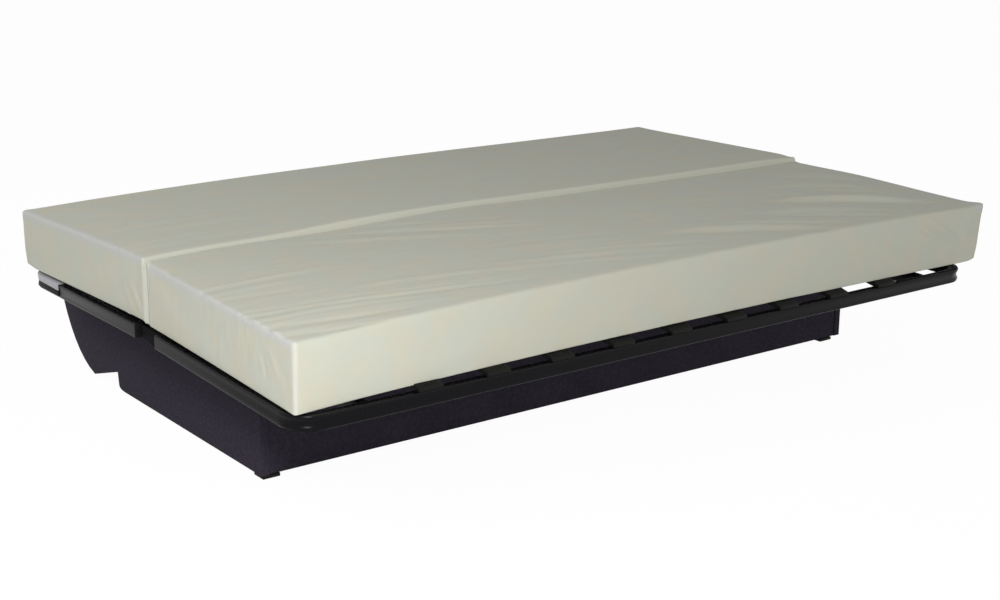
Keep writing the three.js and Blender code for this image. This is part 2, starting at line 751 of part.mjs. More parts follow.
// One frame, made as the seat with its front rail at -Y. The back is the same frame turned half round.
function buildFrame(parent, name, railEnd, turned) {
  const end = halfLength - tubeWidth - touchGap;
  const crossLow = -crossRailPlace - tubeWidth;
  place(parent, `${name}_frame_tube`, bentTube(railEnd), finishes.tubePaint);
  place(parent, `${name}_cross_rail`, straightTube(true, -end, end, crossLow), finishes.tubePaint);
  const railFront = -frameDepth + tubeWidth + touchGap;
  for (const [side, sideName] of sides) {
    const sideLow = side * turned < 0 ? -innerRailOuter : innerRailInner;
    place(parent, `${name}_inner_rail_${sideName}`,
      straightTube(false, railFront, crossLow - touchGap, sideLow), finishes.tubePaint);
  }
  for (let i = 0; i < slatCount; i += 1) {
    const x = turned * (i - (slatCount - 1) / 2) * slatPitch;
    place(parent, `${name}_slat_${i + 1}`, slat(x), finishes.slatWood);
  }
}

buildBase(bed);
buildLinks(bed);

const seat = new THREE.Group();
seat.position.set(0, 0, jointHeight);
seat.rotation.x = radians(seatTiltDegrees);
buildFrame(seat, 'seat', seatRailEnd, 1);
for (const [side, sideName] of sides) {
  place(seat, `seat_side_plate_${sideName}`, sidePlate(side), finishes.blackSteel);
}
place(seat, 'seat_mattress', mattress(-seatMattressFront, -mattressGap, 1), finishes.coverCloth);
bed.add(seat);

const back = new THREE.Group();
back.position.set(0, 0, jointHeight);
back.rotation.x = radians(-backTiltDegrees);
const turnedFrame = new THREE.Group();
turnedFrame.rotation.z = Math.PI;
buildFrame(turnedFrame, 'back', backRailEnd, -1);
for (const [side, sideName] of sides) {
  place(turnedFrame, `back_tube_plug_${sideName}`, tubePlug(-side), finishes.blackPlastic);
  place(turnedFrame, `back_corner_guard_${sideName}`, cornerGuard(-side), finishes.greyPlastic);
}
back.add(turnedFrame);
place(back, 'back_mattress', mattress(mattressGap, backMattressRear, -1), finishes.coverCloth);
bed.add(back);

// The origin is the middle of the footprint, on the floor
bed.updateMatrixWorld(true);
const extent = new THREE.Box3().setFromObject(bed, true);
const middle = extent.getCenter(new THREE.Vector3());
bed.position.set(-middle.x, -middle.y, 0);

export default bed;
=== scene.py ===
# %% [markdown]
# # A fold-flat sofa bed
# The bed lies flat: two slatted frames of bent steel tube, each with half a foam mattress on it, sit on a
# cloth-covered storage base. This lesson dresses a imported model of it. The model gives the sizes and the
# moving bodies, and each step below gives one kind of piece its finished shape and surface. The packed
# model is loaded first, and everything is deselected, because operators act on all that is selected.

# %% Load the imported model
import math
import random

import bmesh
import bpy
import numpy as np
from mathutils import Matrix, Vector


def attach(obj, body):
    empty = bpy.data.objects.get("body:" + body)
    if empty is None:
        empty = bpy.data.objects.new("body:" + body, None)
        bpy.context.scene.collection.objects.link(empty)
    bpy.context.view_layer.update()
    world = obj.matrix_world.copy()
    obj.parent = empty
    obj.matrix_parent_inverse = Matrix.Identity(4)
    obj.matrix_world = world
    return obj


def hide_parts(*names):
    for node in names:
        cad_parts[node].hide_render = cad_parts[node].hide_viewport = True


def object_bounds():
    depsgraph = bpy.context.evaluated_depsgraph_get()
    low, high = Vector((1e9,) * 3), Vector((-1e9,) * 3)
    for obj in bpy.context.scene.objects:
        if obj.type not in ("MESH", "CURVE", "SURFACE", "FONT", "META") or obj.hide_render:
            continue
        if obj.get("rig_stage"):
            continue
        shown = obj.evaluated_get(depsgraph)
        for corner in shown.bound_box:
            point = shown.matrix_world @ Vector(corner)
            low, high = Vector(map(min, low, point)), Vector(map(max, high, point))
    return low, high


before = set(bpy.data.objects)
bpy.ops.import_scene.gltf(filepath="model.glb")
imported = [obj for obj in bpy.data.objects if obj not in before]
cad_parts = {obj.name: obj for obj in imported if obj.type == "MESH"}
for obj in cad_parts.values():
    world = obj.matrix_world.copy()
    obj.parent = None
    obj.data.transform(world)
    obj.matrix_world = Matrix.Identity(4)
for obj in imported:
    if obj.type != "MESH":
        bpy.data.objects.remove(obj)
cad_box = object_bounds()
bpy.ops.object.select_all(action="DESELECT")

# %% [markdown]
# ## Where things are
# The two halves meet on one line, the fold line. Each half is modelled with its outer rail towards -Y and
# the fold line at Y = 0, on a level frame whose rail tops are at Z = 0. A matrix then lays it down: the
# seat tips a little forwards, and the back is turned half round and tips a little backwards.

# %% Places of the two halves
FOLD_LINE = Vector((-0.01455, -0.03354, 0.2595))
SEAT_TILT = math.radians(1.93)
BACK_TILT = math.radians(0.6)
SEAT_PLACE = Matrix.Translation(FOLD_LINE) @ Matrix.Rotation(SEAT_TILT, 4, "X")
BACK_PLACE = (Matrix.Translation(FOLD_LINE) @ Matrix.Rotation(-BACK_TILT, 4, "X")
              @ Matrix.Rotation(math.pi, 4, "Z"))
HALVES = {"seat": SEAT_PLACE, "back": BACK_PLACE}
print("fold line at", tuple(round(value, 4) for value in FOLD_LINE))

# %% [markdown]
# ## The camera
# The picture was taken from the left of the front edge, a little above the mattress. The lens and the
# place come from fitting the bed's straight edges to the picture, so the model lines up with it.

# %% Camera
VIEW_TURN = math.radians(36.7508)
VIEW_DIP = math.radians(15.8220)
VIEW_ROLL = math.radians(0.3575)
CAMERA_PLACE = (-2.38939, -3.18508, 1.2870)
SENSOR_WIDTH, FOCAL_LENGTH = 36, 61.493
ahead = Vector((math.sin(VIEW_TURN) * math.cos(VIEW_DIP), math.cos(VIEW_TURN) * math.cos(VIEW_DIP),
                -math.sin(VIEW_DIP)))
across = ahead.cross(Vector((0, 0, 1))).normalized()
upwards = across.cross(ahead)
right = math.cos(VIEW_ROLL) * across + math.sin(VIEW_ROLL) * upwards
above = -math.sin(VIEW_ROLL) * across + math.cos(VIEW_ROLL) * upwards
lens = bpy.data.cameras.new("camera")
lens.sensor_width = SENSOR_WIDTH
lens.lens = FOCAL_LENGTH
camera = bpy.data.objects.new("camera", lens)
bpy.context.scene.collection.objects.link(camera)
turn = Matrix((right, above, -ahead)).transposed().to_4x4()
camera.matrix_world = Matrix.Translation(CAMERA_PLACE) @ turn
bpy.context.scene.camera = camera
print("camera looks along", tuple(round(value, 3) for value in ahead))

# %% [markdown]
# ## Colours and nodes
# Colours are written as sRGB hex values, as they look on screen, and one function turns them to the
# linear values that the shader wants. One small function adds a node, sets it and links its inputs.

# %% Colour and node helpers
def linear(hex_colour):
    """sRGB hex such as "#c0c0b0" to a linear RGBA colour."""
    values = [int(hex_colour[i:i + 2], 16) / 255 for i in (1, 3, 5)]
    return tuple(v / 12.92 if v <= 0.04045 else ((v + 0.055) / 1.055) ** 2.4 for v in values) + (1.0,)


def add_node(tree, kind, inputs=None, **settings):
    """Adds a node: settings are its own properties, inputs are values or the sockets that feed it."""
    made = tree.nodes.new(kind)
    for name, value in settings.items():
        setattr(made, name, value)
    for name, value in (inputs or {}).items():
        if isinstance(value, bpy.types.NodeSocket):
            tree.links.new(value, made.inputs[name])
        else:
            made.inputs[name].default_value = value
    return made


def set_ramp(ramp, stops):
    """Gives a colour ramp its stops, as pairs of a place from 0 to 1 and a hex colour."""
    elements = ramp.color_ramp.elements
    while len(elements) < len(stops):
        elements.new(0.5)
    for element, (place, colour) in zip(elements, stops):
        element.position = place
        element.color = linear(colour)


def start_material(name, **shader):
    """A new material, with values for its shader's sockets, and the parts of it that later nodes need."""
    material = bpy.data.materials.new(name)
    material.use_nodes = True
    tree = material.node_tree
    surface = tree.nodes["Principled BSDF"]
    for socket, value in shader.items():
        surface.inputs[socket.replace("_", " ")].default_value = value
    place = add_node(tree, "ShaderNodeTexCoord").outputs["Object"]
    return material, tree, surface, place


print("cream in linear light:", [round(v, 3) for v in linear("#c9c8b8")])

# %% [markdown]
# ## Mattress cover
# The cover is a thin woven polyester lining over foam. To the eye it is matt and pale, a greenish cream
# with faint warm blotches where the foam shows through. Broad noise gives the blotches, about 80 mm
# across. Three attributes of the piece change its colour: along the ends the cloth lies double in a
# cooler, whiter hem, whose colour also holds a painted highlight on the ends' top edges and the left
# end's upright corners; along the back's fold and at those corners a paler colour is a painted highlight;
# and the underside is painted near black as shade under the mattress. The threads are 0.1 mm apart, too
# fine to show, so the relief is a coarser nap of about 3 mm, over long faint streaks where the cloth is
# drawn along the bed.

# %% Mattress cover material
cover, tree, surface, place = start_material(
    "polyester_cover", Roughness=0.9, Specular_IOR_Level=0.2, Sheen_Weight=0.1, Sheen_Roughness=0.5)
surface.inputs["Sheen Tint"].default_value = linear("#e8e8ee")
blotches = add_node(tree, "ShaderNodeTexNoise",
                    {"Vector": place, "Scale": 13.0, "Detail": 3.0, "Roughness": 0.55})
blotch_ramp = add_node(tree, "ShaderNodeValToRGB", {"Fac": blotches.outputs["Fac"]})
set_ramp(blotch_ramp, [(0.30, "#c6c9bc"), (0.48, "#c8c9ba"), (0.60, "#cbc8b7"), (0.72, "#c9cab7")])
cloth_colour = blotch_ramp.outputs["Color"]
# The hem colour is whiter cloth with a painted highlight in it, the fold colour is a painted highlight, and
# the underside's near black is painted shade.
for where, colour in (("hem_and_highlight", "#c7c8c2"), ("fold", "#d8d8c9"), ("painted_underside_shade", "#1a1a1b")):
    amount = add_node(tree, "ShaderNodeAttribute", attribute_name=where)
    mixed = add_node(tree, "ShaderNodeMix", {0: amount.outputs["Fac"], 6: cloth_colour, 7: linear(colour)},
                     data_type="RGBA")
    cloth_colour = mixed.outputs[2]
tree.links.new(cloth_colour, surface.inputs["Base Color"])
drawn = add_node(tree, "ShaderNodeMapping", {"Vector": place, "Scale": (2.5, 26.0, 9.0)})
streaks = add_node(tree, "ShaderNodeTexNoise",
                   {"Vector": drawn.outputs["Vector"], "Scale": 1.6, "Detail": 3.0})
lines = add_node(tree, "ShaderNodeBump",
                 {"Height": streaks.outputs["Fac"], "Strength": 0.65, "Distance": 0.004})
nap = add_node(tree, "ShaderNodeTexNoise", {"Vector": place, "Scale": 330.0, "Detail": 3.0, "Roughness": 0.6})
relief = add_node(tree, "ShaderNodeBump", {"Height": nap.outputs["Fac"], "Strength": 0.15,
                                           "Distance": 0.0004, "Normal": lines.outputs["Normal"]})
tree.links.new(relief.outputs["Normal"], surface.inputs["Normal"])
print("made", cover.name)

# %% [markdown]
# ## Base cloth
# The base is covered with a dark aubergine upholstery cloth, woven from polypropylene. To the eye it is
# dull, with a slight mottle and almost no sheen. Two crossed wave textures make the threads. Real
# threads are 0.7 mm apart; they are drawn 1.6 mm apart so that the weave shows.

# %% Base cloth material
THREAD = 0.0016
base_cloth, tree, surface, place = start_material(
    "woven_base_cloth", Roughness=0.92, Specular_IOR_Level=0.05, Sheen_Weight=0.02, Sheen_Roughness=0.4)
mottle = add_node(tree, "ShaderNodeTexNoise",
                  {"Vector": place, "Scale": 140.0, "Detail": 6.0, "Roughness": 0.7})
mottle_ramp = add_node(tree, "ShaderNodeValToRGB", {"Fac": mottle.outputs["Fac"]})
set_ramp(mottle_ramp, [(0.34, "#342f3a"), (0.5, "#3a3540"), (0.68, "#433d48")])
tree.links.new(mottle_ramp.outputs["Color"], surface.inputs["Base Color"])
slanted = add_node(tree, "ShaderNodeMapping", {"Vector": place, "Rotation": (0.0, 0.0, math.radians(45))})
threads = [add_node(tree, "ShaderNodeTexWave",
                    {"Vector": slanted.outputs["Vector"], "Scale": 1 / (THREAD * 20), "Distortion": 0.6,
                     "Detail": 1.0}, bands_direction=axis)
           for axis in ("X", "Z")]
weave = add_node(tree, "ShaderNodeMath", {0: threads[0].outputs["Fac"], 1: threads[1].outputs["Fac"]},
                 operation="MULTIPLY")
relief = add_node(tree, "ShaderNodeBump",
                  {"Height": weave.outputs["Value"], "Strength": 0.35, "Distance": 0.0004})
tree.links.new(relief.outputs["Normal"], surface.inputs["Normal"])
print("made", base_cloth.name)

# %% [markdown]
# ## Painted tube
# The frames are powder-coated steel tube. To the eye the coat is near black and satin, with the faint
# orange peel that powder leaves, lumps of about 2.4 mm. One fine noise breaks up both the gloss and the
# surface.

# %% Tube paint material
tube_paint, tree, surface, place = start_material("satin_powder_coat", Specular_IOR_Level=0.1)
surface.inputs["Base Color"].default_value = linear("#0a0a0d")
peel = add_node(tree, "ShaderNodeTexNoise", {"Vector": place, "Scale": 420.0, "Detail": 2.0})
dull = add_node(tree, "ShaderNodeMapRange", {"Value": peel.outputs["Fac"], "To Min": 0.24, "To Max": 0.30})
tree.links.new(dull.outputs["Result"], surface.inputs["Roughness"])
relief = add_node(tree, "ShaderNodeBump",
                  {"Height": peel.outputs["Fac"], "Strength": 0.12, "Distance": 0.0003})
tree.links.new(relief.outputs["Normal"], surface.inputs["Normal"])
print("made", tube_paint.name)

# %% [markdown]
# ## Plastics, wood, board, steel and rubber
# The harder materials differ in colour, gloss and grain, but are built alike: one noise, stretched along
# the grain where there is one, wanders between two colours and gives a fine relief. So one function
# makes them all, and each call says what the real material is and what that gives the eye.

# %% The harder materials
def grained(name, low, high, roughness, scale, stretch=(1.0, 1.0, 1.0), metallic=0.0, gloss=0.5, depth=0.0002):
    """A material whose colour wanders between two hex colours in a noise of the given stretch."""
    material, tree, surface, place = start_material(name, Roughness=roughness, Metallic=metallic,
                                                    Specular_IOR_Level=gloss)
    mapped = add_node(tree, "ShaderNodeMapping", {"Vector": place, "Scale": stretch})
    noise = add_node(tree, "ShaderNodeTexNoise",
                     {"Vector": mapped.outputs["Vector"], "Scale": scale, "Detail": 5.0, "Roughness": 0.6})
    ramp = add_node(tree, "ShaderNodeValToRGB", {"Fac": noise.outputs["Fac"]})
    set_ramp(ramp, [(0.35, low), (0.65, high)])
    tree.links.new(ramp.outputs["Color"], surface.inputs["Base Color"])
    relief = add_node(tree, "ShaderNodeBump",
                      {"Height": noise.outputs["Fac"], "Strength": 0.15, "Distance": depth})
    tree.links.new(relief.outputs["Normal"], surface.inputs["Normal"])
    return material


# Moulded polypropylene: a dull black with a fine grain of about 1 mm.
black_plastic = grained("black_polypropylene", "#10110f", "#181916", 0.6, 900.0, gloss=0.12)
# Moulded ABS: smooth and satin, a pale bluish grey.
grey_plastic = grained("pale_grey_abs", "#a7a6ae", "#b1b0b6", 0.42, 500.0)
# Beech plies pressed and stained: dark brown, with streaks that run along the slat.
slat_wood = grained("stained_beech_ply", "#1d1814", "#2f2721", 0.6, 60.0, (6.0, 0.25, 6.0), gloss=0.25)
# Cut steel plate, zinc plated: a cool grey metal with soft clouds of about 20 mm.
zinc_steel = grained("zinc_plated_steel", "#8b8e92", "#a9acb0", 0.38, 45.0, metallic=1.0)
# Pressed wood fibre, left bare: brown and matt, with a felted grain of about 5 mm.
hardboard = grained("bare_hardboard", "#7a6044", "#96795a", 0.8, 220.0, (1.0, 1.6, 1.0), depth=0.0004)
# Steel plate sprayed matt black: no gloss at all, so it reads as a dark gap.
black_steel = grained("matt_black_steel", "#101010", "#161617", 0.7, 300.0, gloss=0.02)
# Moulded rubber: black and dull.
rubber = grained("black_rubber", "#121212", "#1d1d1d", 0.85, 400.0)
print("made the harder materials")

# %% [markdown]
# ## Modelling helpers
# Pieces are made as by hand, from a primitive that is shaped in edit mode. These helpers choose faces,
# edges or points by their place, apply modifiers, and lay a finished piece down so that its object sits
# at the origin with its place in its mesh.

# %% Modelling helpers
def only(piece):
    """Makes one object the only selected one, and the active one."""
    bpy.ops.object.select_all(action="DESELECT")
    piece.select_set(True)
    bpy.context.view_layer.objects.active = piece


def add_box(name, low, high):
    """A box primitive between two corners."""
    low, high = Vector(low), Vector(high)
    bpy.ops.mesh.primitive_cube_add(size=1, location=(low + high) / 2)
    piece = bpy.context.object
    piece.name = name
    piece.scale = high - low
    bpy.ops.object.transform_apply(location=True, rotation=True, scale=True)
    return piece


def pick(piece, mode, test):
    """Selects in edit mode the points, edges or faces whose middle passes a test."""
    bpy.ops.mesh.select_mode(type={"verts": "VERT", "edges": "EDGE", "faces": "FACE"}[mode])
    bpy.ops.mesh.select_all(action="DESELECT")
    shape = bmesh.from_edit_mesh(piece.data)
    chosen = 0
    for item in getattr(shape, mode):
        middle = item.co if mode == "verts" else (
            item.calc_center_median() if mode == "faces" else (item.verts[0].co + item.verts[1].co) / 2)
        if test(middle, item):
            item.select_set(True)
            chosen += 1
    bmesh.update_edit_mesh(piece.data)
    return chosen


def add_modifier(piece, kind, **settings):
    """Adds a modifier and applies it at once."""
    only(piece)
    modifier = piece.modifiers.new(kind.lower(), kind)
    for name, value in settings.items():
        setattr(modifier, name, value)
    bpy.ops.object.modifier_apply(modifier=modifier.name)


def move_points(piece, rule):
    """Moves each point of a mesh to where a rule puts it."""
    for point in piece.data.vertices:
        point.co = rule(point.co.copy())
    piece.data.update()


def finish_piece(piece, name, material, body, place=Matrix.Identity(4), replaces=(), angle=35):
    """Names a piece, lays it down, gives it its surface and ties it to the body that it moves with."""
    piece.name = name
    piece.data.name = name
    piece.data.transform(place)
    piece.data.materials.clear()
    piece.data.materials.append(material)
    only(piece)
    bpy.ops.object.shade_smooth_by_angle(angle=math.radians(angle))
    if replaces:
        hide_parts(*replaces)
    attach(piece, body)
    bpy.ops.object.select_all(action="DESELECT")
    return piece


def copy_piece(piece, name):
    """A copy with a mesh of its own."""
    twin = piece.copy()
    twin.data = piece.data.copy()
    twin.name = name
    bpy.context.scene.collection.objects.link(twin)
    return twin


print("helpers ready")

# %% [markdown]
# ## Bent frame tubes
# Each frame is one length of 30 x 20 mm tube, bent round at its two outer corners. A curve with a bevelled
# section would be quicker, but it leaves no control of the wall. So the section is a plane with rounded
# corners, extruded along a side, spun round the bend, and so on to the other end. A solidify modifier
# then gives the wall its thickness.

# %% Section and sweep of a frame tube
HALF_LENGTH, DEPTH = 0.939, 0.617
TUBE_HIGH, TUBE_WIDE, TUBE_WALL, TUBE_CORNER = 0.030, 0.020, 0.0015, 0.0024
BEND, BEND_STEPS = 0.062, 20
OUTER_WALL_CUTS = 9
RAIL_ENDS = {"seat": 0.044, "back": 0.051}


def extrude_ring(step):
    """Extrudes the selected ring of edges by one step."""
    bpy.ops.mesh.extrude_edges_move(TRANSFORM_OT_translate={"value": step})


def spin_ring(side):
    """Spins the selected ring a quarter turn round the bend at one side."""
    bpy.ops.mesh.spin(steps=BEND_STEPS, angle=-math.pi / 2, axis=(0, 0, 1),
                      center=(side * (HALF_LENGTH - BEND), -DEPTH + BEND, 0))


def swept_tube(end):
    """The skin of a frame tube whose side rails stop short of the fold line by `end`."""
    bpy.ops.mesh.primitive_plane_add(size=1, location=(-HALF_LENGTH + TUBE_WIDE / 2, -end, -TUBE_HIGH / 2),
                                     rotation=(math.pi / 2, 0, 0))
    tube = bpy.context.object
    tube.scale = (TUBE_WIDE, TUBE_HIGH, 1)
    bpy.ops.object.transform_apply(location=True, rotation=True, scale=True)
    bpy.ops.object.mode_set(mode="EDIT")
    bpy.ops.mesh.select_all(action="SELECT")
    bpy.ops.mesh.bevel(offset=TUBE_CORNER, segments=3, affect="VERTICES")
    bpy.ops.mesh.select_mode(type="EDGE")
    pick(tube, "edges", lambda middle, edge: middle.x < -HALF_LENGTH + 1e-5 and edge.calc_length() > 0.01)
    bpy.ops.mesh.subdivide(number_cuts=OUTER_WALL_CUTS)
    bpy.ops.mesh.select_all(action="SELECT")
    bpy.ops.mesh.delete(type="ONLY_FACE")
    bpy.ops.mesh.select_all(action="SELECT")
    extrude_ring((0, -(DEPTH - BEND - end), 0))
    spin_ring(-1)
    extrude_ring((2 * (HALF_LENGTH - BEND), 0, 0))
    spin_ring(1)
    extrude_ring((0, DEPTH - BEND - end, 0))
    bpy.ops.mesh.select_all(action="SELECT")
    bpy.ops.mesh.remove_doubles(threshold=1e-5)
    bpy.ops.mesh.normals_make_consistent(inside=False)
    bpy.ops.object.mode_set(mode="OBJECT")
    return tube


print("a bend of", round(BEND * 1000), "mm in", BEND_STEPS, "steps")

# %% [markdown]
# On a real bend the outer wall is stretched and drawn in, between a ridge above and one below, and its
# lower half is squashed. Every point of the outer wall is moved so, most in the middle of the bend.

# %% Frame tubes with drawn-in bends
DRAW_IN = 0.0034
SQUASH_LOW, SQUASH_HIGH = 0.2, 0.06
RIDGE = 0.004


def bend_share(x, y):
    """How far round a bend a point is, from 0 to 1, and outside the bends 0."""
    dx = abs(x) - (HALF_LENGTH - BEND)
    dy = -y - (DEPTH - BEND)
    if dx <= 0 or dy <= 0:
        return 0.0
    return math.atan2(dy, dx) / (math.pi / 2)


def draw_in(point):
    """Where a point of the tube's skin goes: the outer wall of a bend is drawn in and squashed."""
    share = bend_share(point.x, point.y)
    if share <= 0 or share >= 1:
        return point
    angle = share * math.pi / 2
    outwards = Vector((math.copysign(math.cos(angle), point.x), -math.sin(angle), 0))
    middle = Vector((math.copysign(HALF_LENGTH - BEND, point.x), -DEPTH + BEND, 0))
    flat = Vector((point.x, point.y, 0)) - middle
    if flat.length < BEND - 0.001:
        return point
    up = (point.z + TUBE_HIGH / 2) / (TUBE_HIGH / 2 - RIDGE)
    drawn = math.sin(share * math.pi) ** 0.5
    lower = Vector((0, 0, -(point.z + TUBE_HIGH / 2) * drawn * (SQUASH_LOW if up < 0 else SQUASH_HIGH)))
    return point - outwards * DRAW_IN * drawn * max(0.0, 1 - up * up) + lower


for half in HALVES:
    tube = swept_tube(RAIL_ENDS[half])
    move_points(tube, draw_in)
    add_modifier(tube, "SOLIDIFY", thickness=TUBE_WALL, offset=-1)
    finish_piece(tube, f"{half}_tube", tube_paint, half, HALVES[half], [f"{half}_frame_tube"])
    print(tube.name, "faces", len(tube.data.polygons))

# %% [markdown]
# ## Plain hardware
# Boards, plates, rails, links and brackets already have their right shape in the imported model, but with
# knife-sharp edges. Modelling them again would only risk their fit. So a copy of each is merged into one
# skin, its flat faces are joined up, and a small bevel rounds its edges, as rolled tube, cut plate and
# stapled cloth have. A copy can also be cut at a height, where one node is two pieces in the picture.

# %% Rounded copies
def rounded_copy(node, name, material, body, radius, segments=2, angle=35, cut=None, keep_above=True):
    """A copy of a node with rounded edges. Where it is cut, only the upper piece replaces the node."""
    piece = copy_piece(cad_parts[node], name)
    for key in [key for key in piece.keys() if key.startswith("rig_")]:
        del piece[key]
    piece.parent = None
    piece.hide_render = piece.hide_viewport = False
    only(piece)
    bpy.ops.object.mode_set(mode="EDIT")
    bpy.ops.mesh.select_all(action="SELECT")
    bpy.ops.mesh.remove_doubles(threshold=1e-5)
    bpy.ops.mesh.dissolve_limited(angle_limit=math.radians(1))
    if cut:
        bpy.ops.mesh.select_all(action="SELECT")
        bpy.ops.mesh.bisect(plane_co=(0, 0, cut), plane_no=(0, 0, -1), use_fill=True, clear_outer=keep_above,
                            clear_inner=not keep_above)
    bpy.ops.object.mode_set(mode="OBJECT")
    add_modifier(piece, "BEVEL", width=radius, segments=segments, limit_method="ANGLE",
                 angle_limit=math.radians(angle), use_clamp_overlap=True)
    return finish_piece(piece, name, material, body, replaces=[node] if keep_above else [],
                        angle=angle)


print("a copy keeps its node's place and size")

# %% [markdown]
# The rails are rolled tube, with edges of 1.8 mm, the plates and links are cut sheet with edges of about
# half a millimetre, and the buffers are soft and rounder. The guard on each rear corner is pale grey and is
# cut in two at a height: below it, over the lowest third of the rail, it is made black, as painted shade
# for the dark rail in shadow under the guard.

# %% Hardware of the frames and the base
RAIL_EDGE, LINK_EDGE, PLATE_EDGE = 0.0018, 0.0006, 0.0005
PLUG_EDGE, FOOT_EDGE, BUFFER_EDGE = 0.0008, 0.0015, 0.0018
GUARD_LOW = 0.2415

for half in HALVES:
    for node in (f"{half}_cross_rail", f"{half}_inner_rail_left", f"{half}_inner_rail_right"):
        rounded_copy(node, node + "_tube", tube_paint, half, RAIL_EDGE)
    for side in ("left", "right"):
        rounded_copy(f"{half}_bracket_{side}", f"{half}_pivot_{side}", zinc_steel, half,
                     LINK_EDGE)
        rounded_copy(f"{half}_link_{side}", f"{half}_arm_{side}", zinc_steel, f"{half}_link_{side}",
                     LINK_EDGE)
for side in ("left", "right"):
    rounded_copy(f"seat_side_plate_{side}", f"seat_joint_plate_{side}", black_steel, "seat",
                 PLATE_EDGE)
    rounded_copy(f"back_tube_plug_{side}", f"back_end_plug_{side}", black_plastic, "back",
                 PLUG_EDGE)
    # Below the cut each guard is black plastic: painted shade for the rail in shadow under the guard.
    rounded_copy(f"back_corner_guard_{side}", f"back_guard_painted_shade_{side}", black_plastic, "back",
                 PLATE_EDGE, cut=GUARD_LOW, keep_above=False)
    rounded_copy(f"back_corner_guard_{side}", f"back_guard_{side}", grey_plastic, "back",
                 PLATE_EDGE, cut=GUARD_LOW)
    rounded_copy(f"pawl_{side}", f"catch_{side}", zinc_steel, f"pawl_{side}", PLATE_EDGE)
    rounded_copy(f"mechanism_plate_{side}", f"base_plate_{side}", zinc_steel, "base", LINK_EDGE)
    for row in ("front", "rear"):
        rounded_copy(f"foot_pad_{row}_{side}", f"foot_{row}_{side}", black_plastic, "base",
                     FOOT_EDGE)
    for half in HALVES:
        rounded_copy(f"{half}_buffer_{side}", f"{half}_rest_buffer_{side}", rubber, "base",
                     BUFFER_EDGE, 3)
print("rounded the plain hardware")

# %% [markdown]
# ## Cloth-covered base
# The end panels and the front and rear boards are chipboard with the cloth pulled tight round their edges
# and stapled inside, so their edges are only as soft as the cloth is thick, about 1.4 mm. The boards' ends
# reach a little way into the panels' cloth, so that no light shows through the joint.

# %% Base panels and boards
CLOTH_EDGE, BOARD_EDGE, BOARD_REACH = 0.0014, 0.0008, 0.0028

for side in ("left", "right"):
    rounded_copy(f"{side}_end_panel", f"{side}_covered_panel", base_cloth, "base", CLOTH_EDGE, 3)
for row in ("front", "rear"):
    board = rounded_copy(f"{row}_board", f"{row}_covered_board", base_cloth, "base",
                         CLOTH_EDGE, 3)
    near_end = max(point.co.x for point in board.data.vertices) - 0.02
    move_points(board, lambda point: point + Vector(
        (math.copysign(BOARD_REACH * (abs(point.x) > near_end), point.x), 0, 0)))
rounded_copy("bottom_board", "storage_floor", hardboard, "base", BOARD_EDGE)
print("covered the base")

# %% [markdown]
# ## Sprung slats
# A slat is a strip of bent beech ply, bowed upwards. A flat box would do for the slat's ends, but its bow
# shows from the side, so the box is cut across at even steps, each cut is lifted to the bow's height, and
# the long edges are rounded.

# %% One slat
SLAT_COUNT, SLAT_PITCH, SLAT_CUTS = 9, 0.1605, 24
SLAT_WIDE, SLAT_THICK, SLAT_LIFT, SLAT_RISE, SLAT_EDGE = 0.053, 0.008, 0.0022, 0.016, 0.002
CROSS_RAIL = 0.052
NEAR_END, FAR_END = -DEPTH + TUBE_WIDE / 2, -CROSS_RAIL - TUBE_WIDE / 2


def bow(y):
    """Height of a slat's bow above its ends."""
    share = (y - NEAR_END) / (FAR_END - NEAR_END)
    return max(0.0, 4 * SLAT_RISE * share * (1 - share))


def cut_across(piece, places):
    """Cuts a piece straight across at each place along Y."""
    only(piece)
    bpy.ops.object.mode_set(mode="EDIT")
    for y in places:
        bpy.ops.mesh.select_all(action="SELECT")
        bpy.ops.mesh.bisect(plane_co=(0, y, 0), plane_no=(0, 1, 0))
    bpy.ops.object.mode_set(mode="OBJECT")


slat = add_box("slat", (-SLAT_WIDE / 2, NEAR_END, SLAT_LIFT), (SLAT_WIDE / 2, FAR_END, SLAT_LIFT + SLAT_THICK))
cut_across(slat, [NEAR_END + (FAR_END - NEAR_END) * i / SLAT_CUTS for i in range(1, SLAT_CUTS)])
move_points(slat, lambda point: point + Vector((0, 0, bow(point.y))))
add_modifier(slat, "BEVEL", width=SLAT_EDGE, segments=3, limit_method="ANGLE", angle_limit=math.radians(40))
print("slat faces", len(slat.data.polygons))

# %% [markdown]
# Each end of a slat is pressed into a plastic shoe that sits on the rail. The shoe starts flush with the
# rail's outer face in a low nose, climbs over the rail and wraps the slat, so it is a box with one cut
# whose three stations get their own heights. Low moulded ribs lie along its nose.

# %% The shoes of a slat
SHOE_WIDE, SHOE_LONG, SHOE_NOSE, SHOE_HIGH, SHOE_WALL = 0.057, 0.046, 0.008, 0.013, 0.0016
SHOE_LIFT, SHOE_EDGE = 0.0003, 0.0011
RIB_PLACES = (-0.018, -0.009, 0.0, 0.009, 0.018)
RIB_WIDE, RIB_HIGH, RIB_NEAR, RIB_FAR = 0.0024, 0.0008, 0.004, 0.017


def shoe(start, side):
    """A shoe from its nose at a rail's outer face, reaching inwards."""
    end = start + side * SHOE_LONG
    rail = start + side * TUBE_WIDE
    piece = add_box("shoe", (-SHOE_WIDE / 2, min(start, end), 0), (SHOE_WIDE / 2, max(start, end), 0.01))
    cut_across(piece, [rail])
    foot = {start: SHOE_LIFT, rail: SHOE_LIFT, end: SLAT_LIFT - SHOE_WALL + bow(end)}
    top = {start: SHOE_NOSE, rail: SHOE_HIGH, end: SLAT_LIFT + SLAT_THICK + SHOE_WALL + bow(end)}

    def shape(point):
        station = min(foot, key=lambda y: abs(y - point.y))
        return Vector((point.x, point.y, top[station] if point.z > 0.005 else foot[station]))

    move_points(piece, shape)
    add_modifier(piece, "BEVEL", width=SHOE_EDGE, segments=3, limit_method="ANGLE",
                 angle_limit=math.radians(20))
    return piece


